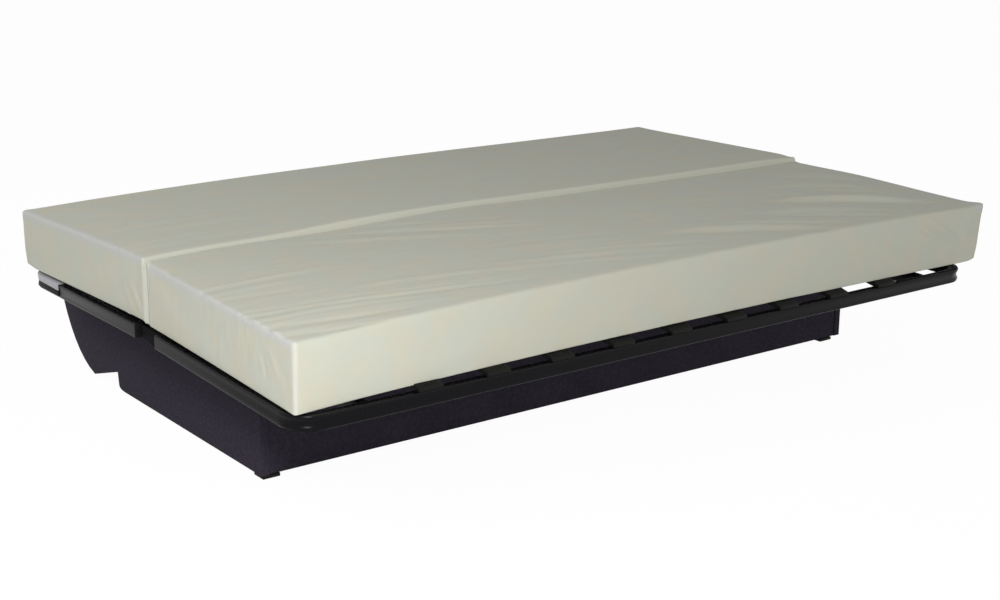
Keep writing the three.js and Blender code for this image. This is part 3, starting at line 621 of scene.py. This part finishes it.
def rib(start, side, x):
    """A low moulded rib along the sloping top of a shoe."""
    near, far = start + side * RIB_NEAR, start + side * RIB_FAR
    slope = (SHOE_HIGH - SHOE_NOSE) / TUBE_WIDE
    piece = add_box("rib", (x - RIB_WIDE / 2, min(near, far), 0.0), (x + RIB_WIDE / 2, max(near, far), 0.001))
    move_points(piece, lambda point: Vector(
        (point.x, point.y, point.z + RIB_HIGH - 0.001 + SHOE_NOSE + slope * abs(point.y - start))))
    add_modifier(piece, "BEVEL", width=0.0004, segments=2)
    return piece


parts = []
for start, side in ((-DEPTH, 1), (-CROSS_RAIL, -1)):
    parts.append(shoe(start, side))
    parts += [rib(start, side, x) for x in RIB_PLACES]
bpy.ops.object.select_all(action="DESELECT")
for part in parts:
    part.select_set(True)
bpy.context.view_layer.objects.active = parts[0]
bpy.ops.object.join()
shoes = bpy.context.object
print("shoe faces", len(shoes.data.polygons))

# %% [markdown]
# The slat and its shoes repeat nine times on each half, so they are copied and not modelled again. Each
# copy has its own mesh, because its place is in its mesh. The back half is turned half round, so its
# slats are counted from the other side.

# %% Copies of the slat
for half, lay_down in HALVES.items():
    turned = 1 if half == "seat" else -1
    for i in range(SLAT_COUNT):
        shift = Matrix.Translation((turned * (i - (SLAT_COUNT - 1) / 2) * SLAT_PITCH, 0, 0))
        finish_piece(copy_piece(slat, "slat"), f"{half}_slat_{i + 1}_ply", slat_wood, half, lay_down @ shift,
                     [f"{half}_slat_{i + 1}"])
        finish_piece(copy_piece(shoes, "shoes"), f"{half}_slat_{i + 1}_shoes", black_plastic, half,
                     lay_down @ shift, angle=30)
bpy.data.objects.remove(slat)
bpy.data.objects.remove(shoes)
print("laid", 2 * SLAT_COUNT, "slats")

# %% [markdown]
# ## Mattress halves
# Each half is a slab of foam in a thin cover. It is crowned, thicker at its front and right than at its
# left, it lies on the bowed slats, and its ends droop on to the side rails. Sculpting would give such a
# form by eye; here it has to follow the picture to a few millimetres, so it starts as a bevelled box cut
# into even cells, about 10 mm across, and each point is then moved to where the slab's form puts it.

# %% The block of a mattress half
MATTRESS_LONG, MATTRESS_SHIFT = 1.900, 0.020
MATTRESS_LOW, MATTRESS_HIGH = 0.0138, 0.1395
OUTER_SIDE = {"seat": 0.599, "back": 0.645}
FOLD_GAP = 0.0005
EDGE_ROUND, LOW_EDGE_ROUND = 0.0070, 0.0028
CELL_CUTS = (187, 57, 10)


def cut_along(piece, axis, cuts):
    """Cuts every edge that runs along one axis into equal parts, which lays rows of cells round a block."""
    pick(piece, "edges", lambda middle, edge: abs(
        (edge.verts[1].co - edge.verts[0].co).normalized()[axis]) > 0.99)
    bpy.ops.mesh.subdivide(number_cuts=cuts)


def mattress_block(half):
    """A box in the place of a mattress half, with round edges and even cells."""
    side = 1 if half == "seat" else -1
    ends = sorted(side * (MATTRESS_SHIFT + end * MATTRESS_LONG / 2) for end in (-1, 1))
    block = add_box(f"{half}_block", (ends[0], -OUTER_SIDE[half], MATTRESS_LOW),
                    (ends[1], -FOLD_GAP, MATTRESS_HIGH))
    only(block)
    bpy.ops.object.mode_set(mode="EDIT")
    pick(block, "edges", lambda middle, edge: middle.z > MATTRESS_LOW + 0.001)
    bpy.ops.mesh.bevel(offset=EDGE_ROUND, segments=3, affect="EDGES")
    pick(block, "edges", lambda middle, edge: all(end.co.z < MATTRESS_LOW + 1e-5 for end in edge.verts))
    bpy.ops.mesh.bevel(offset=LOW_EDGE_ROUND, segments=2, affect="EDGES")
    for axis, cuts in enumerate(CELL_CUTS):
        cut_along(block, axis, cuts)
    bpy.ops.object.mode_set(mode="OBJECT")
    return block


print("a half is", MATTRESS_LONG, "m long")

# %% [markdown]
# The slab's form is worked out on whole arrays of points. Its top and its lower edge don't lie level: the
# foam bulges where the halves press on each other, and its ends hang down over the side rails. The tables
# give both heights, in mm above the rails, along the fold and along the outer side.

# %% Heights of the mattress
STATIONS = (-0.93, -0.84, -0.72, -0.58, -0.43, -0.28, -0.12, 0.05, 0.32, 0.52, 0.72, 0.85, 0.97)
TOP = {"seat": {"fold": (142, 147.5, 149.5, 147.5, 147.5, 153, 155, 147.5, 143.5, 141, 138, 136.5, 139.5),
                "outer": (141, 144, 149.5, 153, 155.9, 156.8, 159, 158.4, 158.3, 155.9, 153.7, 151, 144.5)},
       "back": {"fold": (149.5, 154, 154.5, 156.5, 163, 165, 163.5, 160.5, 156, 154, 153, 152.5, 152),
                "outer": (140, 144.3, 147.6, 150, 152, 153, 153, 154, 152, 149.7, 148.2, 147.2, 146.7)}}
LOW = {"seat": {"fold": (5.5, 9.5, 12.5, 13.8, 13.8, 13.8, 13.8, 13.8, 13.8, 13.8, 13.8, 12, 10),
                "outer": (0.3, 4.8, 7.5, 10.3, 12.2, 13.8, 14.2, 15, 14.7, 11.9, 9.9, 8.7, 7)},
       "back": {"fold": (12.4, 13.4, 13.8, 13.8, 13.8, 13.8, 13.8, 13.8, 13.8, 13.8, 13.8, 13.5, 13),
                "outer": (8.5, 11, 13.8, 13.8, 13.8, 13.8, 13.8, 13.8, 13.8, 13.8, 13.8, 12, 10)}}
BLUR = (-0.06, -0.03, 0.0, 0.03, 0.06)


def smooth(value):
    """A smooth step: 0 below 0, 1 above 1, and a soft S between."""
    value = np.clip(value, 0, 1)
    return value * value * (3 - 2 * value)


def height_at(table, x, share):
    """Height in metres between a table's two rows, with the steps of its stations smoothed away."""
    rows = [sum(np.interp(x + step, STATIONS, table[row]) for step in BLUR) / len(BLUR)
            for row in ("fold", "outer")]
    return (rows[0] + (rows[1] - rows[0]) * share) / 1000


print("top of the seat at its middle:", round(float(height_at(TOP["seat"], 0.0, 0.5)) * 1000, 1), "mm")

# %% [markdown]
# `along` runs from -1 at the bed's left end to 1 at its right end, `out` from 0 at the fold to 1 at the
# outer side, and `up` from 0 below to 1 above. The slats are bowed, and the underside follows them. On the
# back half the foam hangs over the last slat and sags on to the side rail, just inside its edge.

# %% Places, top and underside
BELLY = 0.003
SEAT_RISE = 0.42
SAG, SAG_START, SAG_RUN, SAG_EDGE, SAG_CLEAR = 0.0135, 0.89, 0.04, 0.012, 0.001


def places_of(points, half):
    """The bed's own left-to-right place of each point, and its shares along, out and up."""
    x = points[:, 0] * (1 if half == "seat" else -1)
    along = (x - MATTRESS_SHIFT) / (MATTRESS_LONG / 2)
    out = -points[:, 1] / OUTER_SIDE[half]
    up = (points[:, 2] - MATTRESS_LOW) / (MATTRESS_HIGH - MATTRESS_LOW)
    return x, along, out, up


def top_height(x, along, out, half):
    """Height of the top, with a slight belly between the fold and the outer side."""
    share = smooth(out / SEAT_RISE) if half == "seat" else out
    belly = BELLY * 4 * np.clip(out * (1 - out), 0, 1) * np.clip(1 - along ** 2, 0, 1) ** 0.8
    return height_at(TOP[half], x, share) + belly


def low_height(points, x, along, out, half):
    """Height of the underside, bowed like the slats, and sagging at the ends of the back half."""
    bowed = np.array([bow(y) for y in points[:, 1]]) * (1 - np.clip(np.abs(along), 0, 1) ** 8)
    low = height_at(LOW[half], x, np.clip(out, 0, 1) ** 2) + bowed
    if half == "back":
        from_edge = np.minimum(MATTRESS_LONG / 2 * (1 - np.abs(along)), OUTER_SIDE[half] * (1 - out))
        sag = SAG * smooth((np.abs(along) - SAG_START) / SAG_RUN) * smooth(from_edge / SAG_EDGE)
        low -= np.minimum(sag, np.maximum(low - SAG_CLEAR, 0))
    return low


print("the back half sags by up to", round(SAG * 1000, 1), "mm")

# %% [markdown]
# The corners differ. The back's edge at the fold is a slope, taller than it is deep, because the cover is
# sewn over it in a roll, and its left end leans outwards. The seat is pulled out at its right end, and its
# edge at the fold is nearly square, pressed against the back. A `bump` moves the points near one place,
# fading like a bell.

# %% Edges and corners
FOLD_DEEP, FOLD_TALL, FOLD_POWER = 0.006, 0.020, 1.3
FOLD_DIP, FOLD_DIP_START, FOLD_DIP_REACH = 0.005, 0.88, 0.035
CORNER_ROUND = 0.008
BACK_LEAN, END_START = 0.0105, 0.8
SEAT_PULL, SEAT_PULL_TOP = 0.019, 0.007
PRESSED = 0.25
NEAR = 0.0001


def bump(points, place, reach, move):
    """A move that is whole at one place and fades over a reach along each axis."""
    near = np.exp(-np.sum(((points - place) / reach) ** 2, axis=1))
    return near[:, None] * np.array(move)


def shape_back(points, moved, along, out, up, top):
    """The back's sloping edge at the fold, its leaning left end and its corners."""
    width = OUTER_SIDE["back"]
    dip = FOLD_DIP * smooth((along - FOLD_DIP_START) / (1 - FOLD_DIP_START))
    dip = dip * np.exp(-(out * width / FOLD_DIP_REACH) ** 2)
    moved[:, 2] -= dip * up
    inwards = 1 - (-FOLD_GAP - points[:, 1]) / FOLD_DEEP
    upwards = 1 - (top - dip - moved[:, 2]) / FOLD_TALL
    rounded = (inwards > 0) & (upwards > 0)
    inwards, upwards = inwards[rounded], upwards[rounded]
    norm = (inwards ** FOLD_POWER + upwards ** FOLD_POWER) ** (1 / FOLD_POWER)
    pull = np.maximum(inwards, upwards) / norm
    moved[rounded, 1] -= inwards * FOLD_DEEP * (1 - pull)
    moved[rounded, 2] -= upwards * FOLD_TALL * (1 - pull)
    moved[:, 0] += BACK_LEAN * smooth((-along - END_START) / (1 - END_START)) * out
    inwards = CORNER_ROUND - (MATTRESS_LONG / 2) * (1 + along)
    forwards = CORNER_ROUND - (-FOLD_GAP - points[:, 1])
    rounded = (inwards > 0) & (forwards > 0)
    pull = np.maximum(inwards, forwards)[rounded] / np.hypot(inwards, forwards)[rounded]
    moved[rounded, 0] -= inwards[rounded] * (1 - pull)
    moved[rounded, 1] -= forwards[rounded] * (1 - pull)
    heel = MATTRESS_LONG / 2 - MATTRESS_SHIFT, -width, MATTRESS_LOW
    moved += bump(points, heel, (0.02, 0.04, 0.025), (-0.003, 0.0, 0.004))


def shape_seat(points, moved, along, out, up, top):
    """The seat's pulled right end, with a lifted heel and lip, and its pressed edge at the fold."""
    pulled = smooth((along - END_START) / (1 - END_START)) * np.clip(out, 0, 1)
    moved[:, 0] += (SEAT_PULL + SEAT_PULL_TOP * up) * pulled
    right_end, outer = MATTRESS_SHIFT + MATTRESS_LONG / 2, -OUTER_SIDE["seat"]
    moved += bump(points, (right_end, outer, MATTRESS_LOW), (0.018, 0.04, 0.02), (-0.006, 0.0, 0.006))
    moved += bump(points, (right_end, outer, MATTRESS_HIGH), (0.02, 0.03, 0.03), (0.003, 0.0, 0.005))
    edge = (points[:, 1] > -FOLD_GAP - EDGE_ROUND - NEAR) & (moved[:, 2] > top - EDGE_ROUND - NEAR)
    moved[edge, 2] = top[edge] - (top - moved[:, 2])[edge] * PRESSED


print("the fold edge is", round(FOLD_TALL * 1000), "mm tall")

# %% [markdown]
# The form puts these together. Last, the edge at the fold leans by the half's tilt, so that the two faces
# at the fold line stand upright and side by side.

# %% The form of a mattress half
def slab_form(points, half):
    """Where each point of a block goes."""
    x, along, out, up = places_of(points, half)
    top = top_height(x, along, out, half)
    low = low_height(points, x, along, out, half)
    moved = points.copy()
    moved[:, 2] = low + (top - low) * up
    (shape_seat if half == "seat" else shape_back)(points, moved, along, out, up, top)
    tilt = math.tan(SEAT_TILT if half == "seat" else BACK_TILT)
    moved[:, 1] += tilt * points[:, 2] * np.clip(1 - 2 * out, 0, 1) ** 2
    return moved


print("form ready")

# %% [markdown]
# ## Swelling
# Cloth with a little pressure lets the cover swell between its edges, as padding does, which modifiers
# can't do as well. The underside and the face at the fold are held. The swelling also draws the edges in,
# so each move is capped at 2.5 mm, and the table of heights allows for it.

# %% Cloth
CLOTH_FRAMES = 20
SWELL_LIMIT = 0.0025


def swell(block):
    """Swells a block under pressure, with every move capped, and returns the largest one."""
    rest = np.array([point.co for point in block.data.vertices])
    held = block.vertex_groups.new(name="held")
    for point in block.data.vertices:
        down = point.normal.z < -0.5 or point.normal.y > 0.7
        held.add([point.index], 1.0 if down else 0.0, "REPLACE")
    only(block)
    modifier = block.modifiers.new("cloth", "CLOTH")
    settings = modifier.settings
    settings.quality = 4
    settings.mass = 0.3
    settings.tension_stiffness = settings.compression_stiffness = 20
    settings.shear_stiffness = 8
    settings.bending_stiffness = 0.5
    settings.use_pressure = True
    settings.uniform_pressure_force = 4
    settings.vertex_group_mass = "held"
    settings.effector_weights.gravity = 0
    scene = bpy.context.scene
    scene.frame_start, scene.frame_end = 1, CLOTH_FRAMES
    for number in range(1, CLOTH_FRAMES + 1):
        scene.frame_set(number)
    bpy.ops.object.modifier_apply(modifier=modifier.name)
    scene.frame_set(1)
    step = np.array([point.co for point in block.data.vertices]) - rest
    length = np.linalg.norm(step, axis=1, keepdims=True)
    step *= SWELL_LIMIT / (SWELL_LIMIT + length)
    block.data.vertices.foreach_set("co", (rest + step).astype(np.float32).ravel())
    block.data.update()
    return float(length.max())


print("cloth runs for", CLOTH_FRAMES, "frames")

# %% [markdown]
# ## Creases
# A simulation would put its folds anywhere; these have to lie where the picture shows them. So each crease
# is a soft ridge or valley along a curve through three points, and has finer ones beside it. A seeded
# chance places the finer ones, so that they are the same on each run.

# %% Curves of the creases
def curve_points(path, count=14):
    """Points on the curve that leaves the first point, passes near the second and ends at the third."""
    start, middle, end = (np.array(point) for point in path)
    share = np.linspace(0, 1, count)[:, None]
    return (1 - share) ** 2 * start + 2 * share * (1 - share) * middle + share ** 2 * end


def ridge(flat, path, width, height, open_start=False):
    """Height of one crease at each flat place, thickest in the middle of its run, or from its start."""
    line = curve_points(path)
    best = np.full(len(flat), 1e9)
    place = np.zeros(len(flat))
    for i, (a, b) in enumerate(zip(line[:-1], line[1:])):
        run = b - a
        share = np.clip(((flat - a) @ run) / (run @ run), 0, 1)
        gap = np.linalg.norm(flat - a - share[:, None] * run, axis=1)
        closer = gap < best
        best[closer] = gap[closer]
        place[closer] = (i + share[closer]) / (len(line) - 1)
    fade = smooth((1 - place) / 0.45) * (1 if open_start else smooth(place / 0.35))
    return height * fade * np.exp(-(best / width) ** 2)


def crease_sum(flat, creases, chance, finer=2):
    """Height of all creases of a list, given in millimetres, each with finer ones beside it."""
    total = np.zeros(len(flat))
    for path, width, height, open_start in creases:
        total += ridge(flat, path, width / 1000, height / 1000, open_start)
        for i in range(finer):
            aside = chance.choice((-1, 1)) * chance.uniform(1.2, 3.0) * width / 1000
            start, end = np.array(path[0]), np.array(path[2])
            across = np.array([-(end - start)[1], (end - start)[0]]) / np.linalg.norm(end - start)
            shift = [across * aside * chance.uniform(0.6, 1.4) + (end - start) * chance.uniform(-0.08, 0.08)
                     for point in path]
            beside = [np.array(point) + offset for point, offset in zip(path, shift)]
            total += ridge(flat, beside, width * chance.uniform(0.35, 0.7) / 1000,
                           height * chance.uniform(-0.5, 0.6) / 1000, open_start)
    return total


def line(x1, y1, x2, y2, x3, y3, width, height, open_start=False):
    """One crease: three points in metres, its width and height in mm, and whether it starts at full height."""
    return (((x1, y1), (x2, y2), (x3, y3)), width, height, open_start)


print("creases fade at both ends unless their start is open")

# %% [markdown]
# The creases of the tops are given from left to right and from the fold outwards. On the seat one set runs
# from the left end's hem, one crosses the middle, and one fans out from the right end, where the cover was
# pulled over the foam. The back has only a few.

# %% The creases of the tops
TOP_CREASES = {
    "seat": [
        line(-0.69, -0.02, -0.42, -0.14, -0.14, -0.29, 12, 3.6),
        line(-0.57, -0.005, -0.31, -0.14, -0.04, -0.28, 8, -3.2),
        line(-0.53, -0.01, -0.19, -0.15, -0.01, -0.22, 12, 2.3),
        line(-0.45, -0.01, -0.33, -0.05, -0.22, -0.11, 8, -1.9),
        line(-0.93, -0.225, -0.78, -0.24, -0.59, -0.265, 7, 2.3, True),
        line(-0.93, -0.245, -0.80, -0.26, -0.66, -0.275, 7, -2.1, True),
        line(-0.93, -0.27, -0.83, -0.28, -0.71, -0.29, 7, 2.1, True),
        line(-0.93, -0.31, -0.84, -0.325, -0.73, -0.35, 8, -1.7, True),
        line(-0.93, -0.42, -0.55, -0.50, -0.28, -0.56, 8, -4, True),
        line(-0.93, -0.45, -0.72, -0.48, -0.52, -0.535, 12, 3.2, True),
        line(-0.93, -0.50, -0.78, -0.54, -0.62, -0.56, 8, -3.8, True),
        line(-0.93, -0.525, -0.80, -0.56, -0.62, -0.585, 11, 2.9, True),
        line(-0.93, -0.555, -0.86, -0.575, -0.76, -0.59, 7, -2.5, True),
        line(-0.34, -0.42, -0.06, -0.465, 0.26, -0.56, 11, -3.6),
        line(-0.42, -0.41, -0.05, -0.50, 0.19, -0.57, 15, 3.2),
        line(-0.75, -0.38, -0.50, -0.42, -0.20, -0.50, 12, 1.9),
        line(-0.40, -0.33, -0.15, -0.37, 0.10, -0.44, 14, 1.7),
        line(0.06, -0.41, 0.31, -0.47, 0.54, -0.60, 18, 6),
        line(0.22, -0.43, 0.40, -0.49, 0.59, -0.60, 12, -4.4),
        line(0.40, -0.39, 0.60, -0.44, 0.83, -0.60, 16, 5.4),
        line(0.33, -0.42, 0.55, -0.47, 0.72, -0.60, 12, -3.5),
        line(0.46, -0.33, 0.72, -0.35, 0.95, -0.57, 16, 6.8),
        line(0.50, -0.37, 0.74, -0.41, 0.92, -0.58, 12, -5),
        line(0.58, -0.22, 0.80, -0.26, 0.965, -0.44, 15, 6.2),
        line(0.62, -0.28, 0.80, -0.33, 0.965, -0.50, 15, -5),
        line(0.70, -0.09, 0.86, -0.13, 0.965, -0.30, 14, 5.4),
        line(0.72, -0.15, 0.86, -0.20, 0.96, -0.35, 14, -4),
        line(-0.92, -0.10, -0.86, -0.05, -0.76, -0.01, 9, -2.5, True),
        line(-0.92, -0.07, -0.88, -0.03, -0.82, -0.005, 9, 2.3, True),
        line(0.10, -0.04, 0.45, -0.06, 0.80, -0.04, 16, -1.9),
        line(-0.20, -0.03, 0.10, -0.02, 0.35, -0.04, 14, 1.7),
        line(0.20, -0.20, 0.40, -0.24, 0.62, -0.33, 16, 1.9)],
    "back": [
        line(-0.90, 0.20, -0.70, 0.23, -0.50, 0.19, 18, 2.3),
        line(-0.92, 0.27, -0.80, 0.29, -0.66, 0.28, 16, 1.9),
        line(-0.92, 0.245, -0.75, 0.26, -0.58, 0.25, 12, -1.7),
        line(-0.93, 0.12, -0.80, 0.14, -0.62, 0.11, 14, 1.9, True),
        line(-0.93, 0.06, -0.75, 0.07, -0.50, 0.03, 12, -2.1, True),
        line(0.60, 0.40, 0.74, 0.47, 0.82, 0.60, 19, 2.5),
        line(0.45, 0.44, 0.56, 0.50, 0.62, 0.58, 18, 1.9),
        line(0.56, 0.28, 0.66, 0.34, 0.72, 0.42, 15, -1.9),
        line(0.70, 0.20, 0.82, 0.30, 0.95, 0.36, 16, 2.3),
        line(0.72, 0.10, 0.85, 0.14, 0.96, 0.22, 15, 2.3),
        line(0.30, 0.05, 0.60, 0.08, 0.90, 0.05, 16, -1.9),
        line(-0.40, 0.05, -0.10, 0.07, 0.20, 0.04, 16, 1.7)]}
print("creases:", {half: len(creases) for half, creases in TOP_CREASES.items()})

# %% [markdown]
# The front face has folds at its right end only. The seat's left end has many fine upright ones near the
# front corner, and the back's left end a strong roll down its edge at the fold.

# %% The creases of the upright faces
FRONT_CREASES = [
    line(0.72, 0.145, 0.81, 0.10, 0.92, 0.030, 7, -4.3),
    line(0.76, 0.148, 0.85, 0.10, 0.945, 0.045, 11, 3.2),
    line(0.80, 0.150, 0.88, 0.11, 0.95, 0.060, 7, -3.2),
    line(0.62, 0.140, 0.72, 0.09, 0.80, 0.030, 12, 1.9),
    line(0.90, 0.150, 0.935, 0.13, 0.955, 0.090, 6, -2.6),
    line(0.955, 0.150, 0.93, 0.09, 0.95, 0.030, 8, 2.2),
    line(-0.90, 0.130, -0.86, 0.08, -0.80, 0.040, 14, 0.9),
    line(-0.70, 0.030, -0.55, 0.06, -0.42, 0.040, 17, 1)]
END_CREASES = {
    "seat": [
        line(-0.500, 0.115, -0.520, 0.075, -0.565, 0.018, 6, 1.5),
        line(-0.520, 0.115, -0.545, 0.080, -0.580, 0.035, 5, -1.3),
        line(-0.470, 0.110, -0.480, 0.070, -0.510, 0.015, 6, -1.2),
        line(-0.450, 0.105, -0.450, 0.070, -0.425, 0.020, 6, 1.1),
        line(-0.430, 0.100, -0.425, 0.070, -0.405, 0.030, 6, -0.8),
        line(-0.390, 0.110, -0.380, 0.070, -0.360, 0.020, 8, 0.7),
        line(-0.320, 0.110, -0.318, 0.060, -0.310, 0.020, 8, 0.6),
        line(-0.240, 0.110, -0.240, 0.060, -0.236, 0.020, 9, 0.5),
        line(-0.165, 0.110, -0.165, 0.060, -0.160, 0.020, 8, 0.5),
        line(-0.090, 0.110, -0.085, 0.060, -0.085, 0.020, 9, 0.5)],
    "back": [
        line(0.010, 0.170, 0.009, 0.080, 0.012, -0.120, 7, 4.5, True),
        line(0.080, 0.100, 0.055, 0.060, 0.015, 0.015, 10, 2.4),
        line(0.055, 0.090, 0.035, 0.060, 0.010, 0.030, 7, -1.8),
        line(0.110, 0.085, 0.090, 0.050, 0.060, 0.015, 11, 1.2),
        line(0.300, 0.105, 0.300, 0.060, 0.310, 0.020, 14, 0.8),
        line(0.520, 0.105, 0.530, 0.060, 0.545, 0.020, 14, 0.9),
        line(0.625, 0.120, 0.620, 0.070, 0.630, 0.020, 10, 1.4)]}
print("upright creases:", len(FRONT_CREASES) + sum(len(creases) for creases in END_CREASES.values()))

# %% [markdown]
# A crease is raised only on the faces that look its way, and fades round the edges. The same pass raises the
# hem and notes in attributes where the cover's colour changes: the hem, with a painted highlight in it, the
# painted highlight at the back's fold and the left end's corners, and the painted shade of the underside.

# %% Raise the creases
HEM_DEEP, HEM_TALL, HEM_FADE = 0.021, 0.0007, 0.004
# How far from the fold the painted highlight reaches, and how much of the corner highlight it takes.
FOLD_HIGHLIGHT_DEEP, FOLD_HIGHLIGHT_SHARE = 0.011, 0.7


def raised(points, normals, half, chance):
    """How far each point is raised along its normal by the creases of the face that it lies on."""
    side = 1 if half == "seat" else -1
    x, y, z = points[:, 0] * side, points[:, 1] * side, points[:, 2]
    facing = smooth((normals[:, 2] - 0.25) / 0.5)
    lift = facing * crease_sum(np.stack([x, y], axis=1), TOP_CREASES[half], chance, 3)
    for end in (-1, 1):
        facing = smooth((normals[:, 0] * side * end - 0.35) / 0.4)
        lift += facing * crease_sum(np.stack([y, z], axis=1), END_CREASES[half], chance, 1)
    if half == "seat":
        facing = smooth((-normals[:, 1] - 0.35) / 0.4)
        lift += facing * crease_sum(np.stack([x, z], axis=1), FRONT_CREASES, chance, 1)
    return lift


def raise_creases(block, half, seed):
    """Raises the creases and the hem, and notes where the cover's colour changes."""
    points = np.array([point.co for point in block.data.vertices])
    normals = np.array([point.normal for point in block.data.vertices])
    lift = raised(points, normals, half, random.Random(seed))
    x, along, out, up = places_of(points, half)
    below_top = top_height(x, along, np.clip(out, 0, 1), half) - points[:, 2]
    from_end = MATTRESS_LONG / 2 - np.abs(x - MATTRESS_SHIFT)
    from_fold = -FOLD_GAP - points[:, 1]
    from_side = np.minimum(OUTER_SIDE[half] + points[:, 1], from_fold)
    at_end = smooth((0.011 - from_end) / 0.006)
    # The hem band along the ends' top edges, whose whiter colour is partly a painted highlight.
    band = at_end * smooth((HEM_DEEP - below_top) / HEM_FADE)
    # Painted highlight on the upright corners of the left end.
    corner = at_end * smooth((0.013 - from_side) / 0.007) * (x < 0)
    # Painted highlight along the top of the back's face at the fold.
    fold_highlight = smooth((FOLD_HIGHLIGHT_DEEP - from_fold) / 0.004) * smooth((HEM_DEEP - below_top) / 0.005) * (half == "back")
    # Painted shade: the underside is painted near black, fading out towards the ends and sides.
    inside = smooth((np.minimum(from_end, from_side) - 0.004) / 0.006)
    notes = {"hem_and_highlight": np.maximum(band, corner), "fold": np.maximum(fold_highlight, FOLD_HIGHLIGHT_SHARE * corner),
             "painted_underside_shade": smooth((-normals[:, 2] - 0.6) / 0.3) * inside}
    points += normals * (lift + HEM_TALL * band)[:, None]
    block.data.vertices.foreach_set("co", points.astype(np.float32).ravel())
    for name, values in notes.items():
        block.data.attributes.new(name, "FLOAT", "POINT").data.foreach_set("value", values.astype(np.float32))
    block.data.update()


print("hem_and_highlight", round(HEM_DEEP * 1000), "mm deep")

# %% [markdown]
# The steps now run in order on each half. The subdivision comes after the cloth and before the creases, so
# that the cloth is quick and the creases are smooth. Each half replaces the packed slab.

# %% Make the two mattress halves
for number, half in enumerate(HALVES):
    block = mattress_block(half)
    points = slab_form(np.array([point.co for point in block.data.vertices]), half)
    block.data.vertices.foreach_set("co", points.astype(np.float32).ravel())
    block.data.update()
    most = swell(block)
    add_modifier(block, "SUBSURF", levels=1, render_levels=1)
    raise_creases(block, half, 7 + number)
    piece = finish_piece(block, f"{half}_mattress_cover", cover, half, HALVES[half], [f"{half}_mattress"],
                         angle=60)
    print(piece.name, "faces", len(piece.data.polygons), "swelled by up to", round(most * 1000, 1), "mm")

# %% [markdown]
# ## Floor and light
# The bed stands on a plain pale floor that meets a white surround. The eye, and the gloss of the metal,
# see both as white; for the light that falls on the bed they are pale grey. A small lamp near the camera
# is brightest on the near corner and fades along the bed, and two large soft ones light the rest.

# %% Floor
bpy.ops.mesh.primitive_plane_add(size=40, location=(0, 0, 0))
floor = bpy.context.object
floor.name = "floor"


def white_rays(tree, share):
    """The given share for rays from the camera, off gloss and through glass, and 0 for all other rays."""
    path = add_node(tree, "ShaderNodeLightPath")
    seen = path.outputs["Is Camera Ray"]
    for kind in ("Is Glossy Ray", "Is Transmission Ray"):
        either = add_node(tree, "ShaderNodeMath", {0: seen, 1: path.outputs[kind]}, operation="MAXIMUM")
        seen = either.outputs["Value"]
    return add_node(tree, "ShaderNodeMath", {0: seen, 1: share}, operation="MULTIPLY")


pale, tree, surface, place = start_material("pale_floor", Roughness=0.9, Specular_IOR_Level=0.1)
paper = add_node(tree, "ShaderNodeTexNoise", {"Vector": place, "Scale": 2.0, "Detail": 3.0})
paper_ramp = add_node(tree, "ShaderNodeValToRGB", {"Fac": paper.outputs["Fac"]})
set_ramp(paper_ramp, [(0.3, "#e2e2e2"), (0.7, "#e8e8e8")])
tree.links.new(paper_ramp.outputs["Color"], surface.inputs["Base Color"])
white = add_node(tree, "ShaderNodeEmission", {"Color": (1, 1, 1, 1), "Strength": 1.02})
mixed = add_node(tree, "ShaderNodeMixShader", {0: white_rays(tree, 0.95).outputs["Value"],
                                               1: surface.outputs["BSDF"], 2: white.outputs["Emission"]})
tree.links.new(mixed.outputs["Shader"], tree.nodes["Material Output"].inputs["Surface"])
floor.data.materials.append(pale)
floor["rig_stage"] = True
print("floor laid")

# %% [markdown]
# The lamps are few and soft, as in a studio. The key lamp is small and near the camera, so that its light
# falls off along the bed as in the picture, and the large ones fill the left end and the front.

# %% World and lamps
SURROUND_LIGHT, SURROUND_SEEN = 0.27, 1.0
world = bpy.data.worlds.new("white_surround")
bpy.context.scene.world = world
world.use_nodes = True
tree = world.node_tree
strength = add_node(tree, "ShaderNodeMapRange", {"Value": white_rays(tree, 1.0).outputs["Value"],
                                                 "To Min": SURROUND_LIGHT, "To Max": SURROUND_SEEN})
backdrop = tree.nodes["Background"]
backdrop.inputs["Color"].default_value = (1, 1, 1, 1)
tree.links.new(strength.outputs["Result"], backdrop.inputs["Strength"])


def add_lamp(name, kind, place, target, power, **settings):
    """A lamp that faces a target and that the camera itself doesn't see."""
    data = bpy.data.lights.new(name, kind)
    data.energy = power
    for setting, value in settings.items():
        setattr(data, setting, value)
    lamp = bpy.data.objects.new(name, data)
    lamp.visible_camera = False
    bpy.context.scene.collection.objects.link(lamp)
    aim = (Vector(target) - Vector(place)).to_track_quat("-Z", "Y")
    lamp.matrix_world = Matrix.Translation(place) @ aim.to_matrix().to_4x4()
    return lamp


add_lamp("key_lamp", "POINT", (-1.55, -1.75, 1.08), (0, 0, 0.3), 69, shadow_soft_size=0.15)
add_lamp("left_lamp", "AREA", (-3.0, 1.2, 2.6), (0, 0, 0.3), 46, size=2.0)
add_lamp("front_lamp", "AREA", (1.8, -4.5, 1.0), (0, 0, 0.3), 50, size=3.0)
print("lamps placed")

# %% [markdown]
# ## Last checks
# The picture is shown with the plain Standard view.

# %% View, sizes and finish
bpy.context.scene.view_settings.view_transform = "Standard"
bpy.context.view_layer.update()
dressed_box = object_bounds()
for name, (low, high) in (("cad", cad_box), ("visual", dressed_box)):
    print(name, [round(value * 1000, 1) for value in high - low])
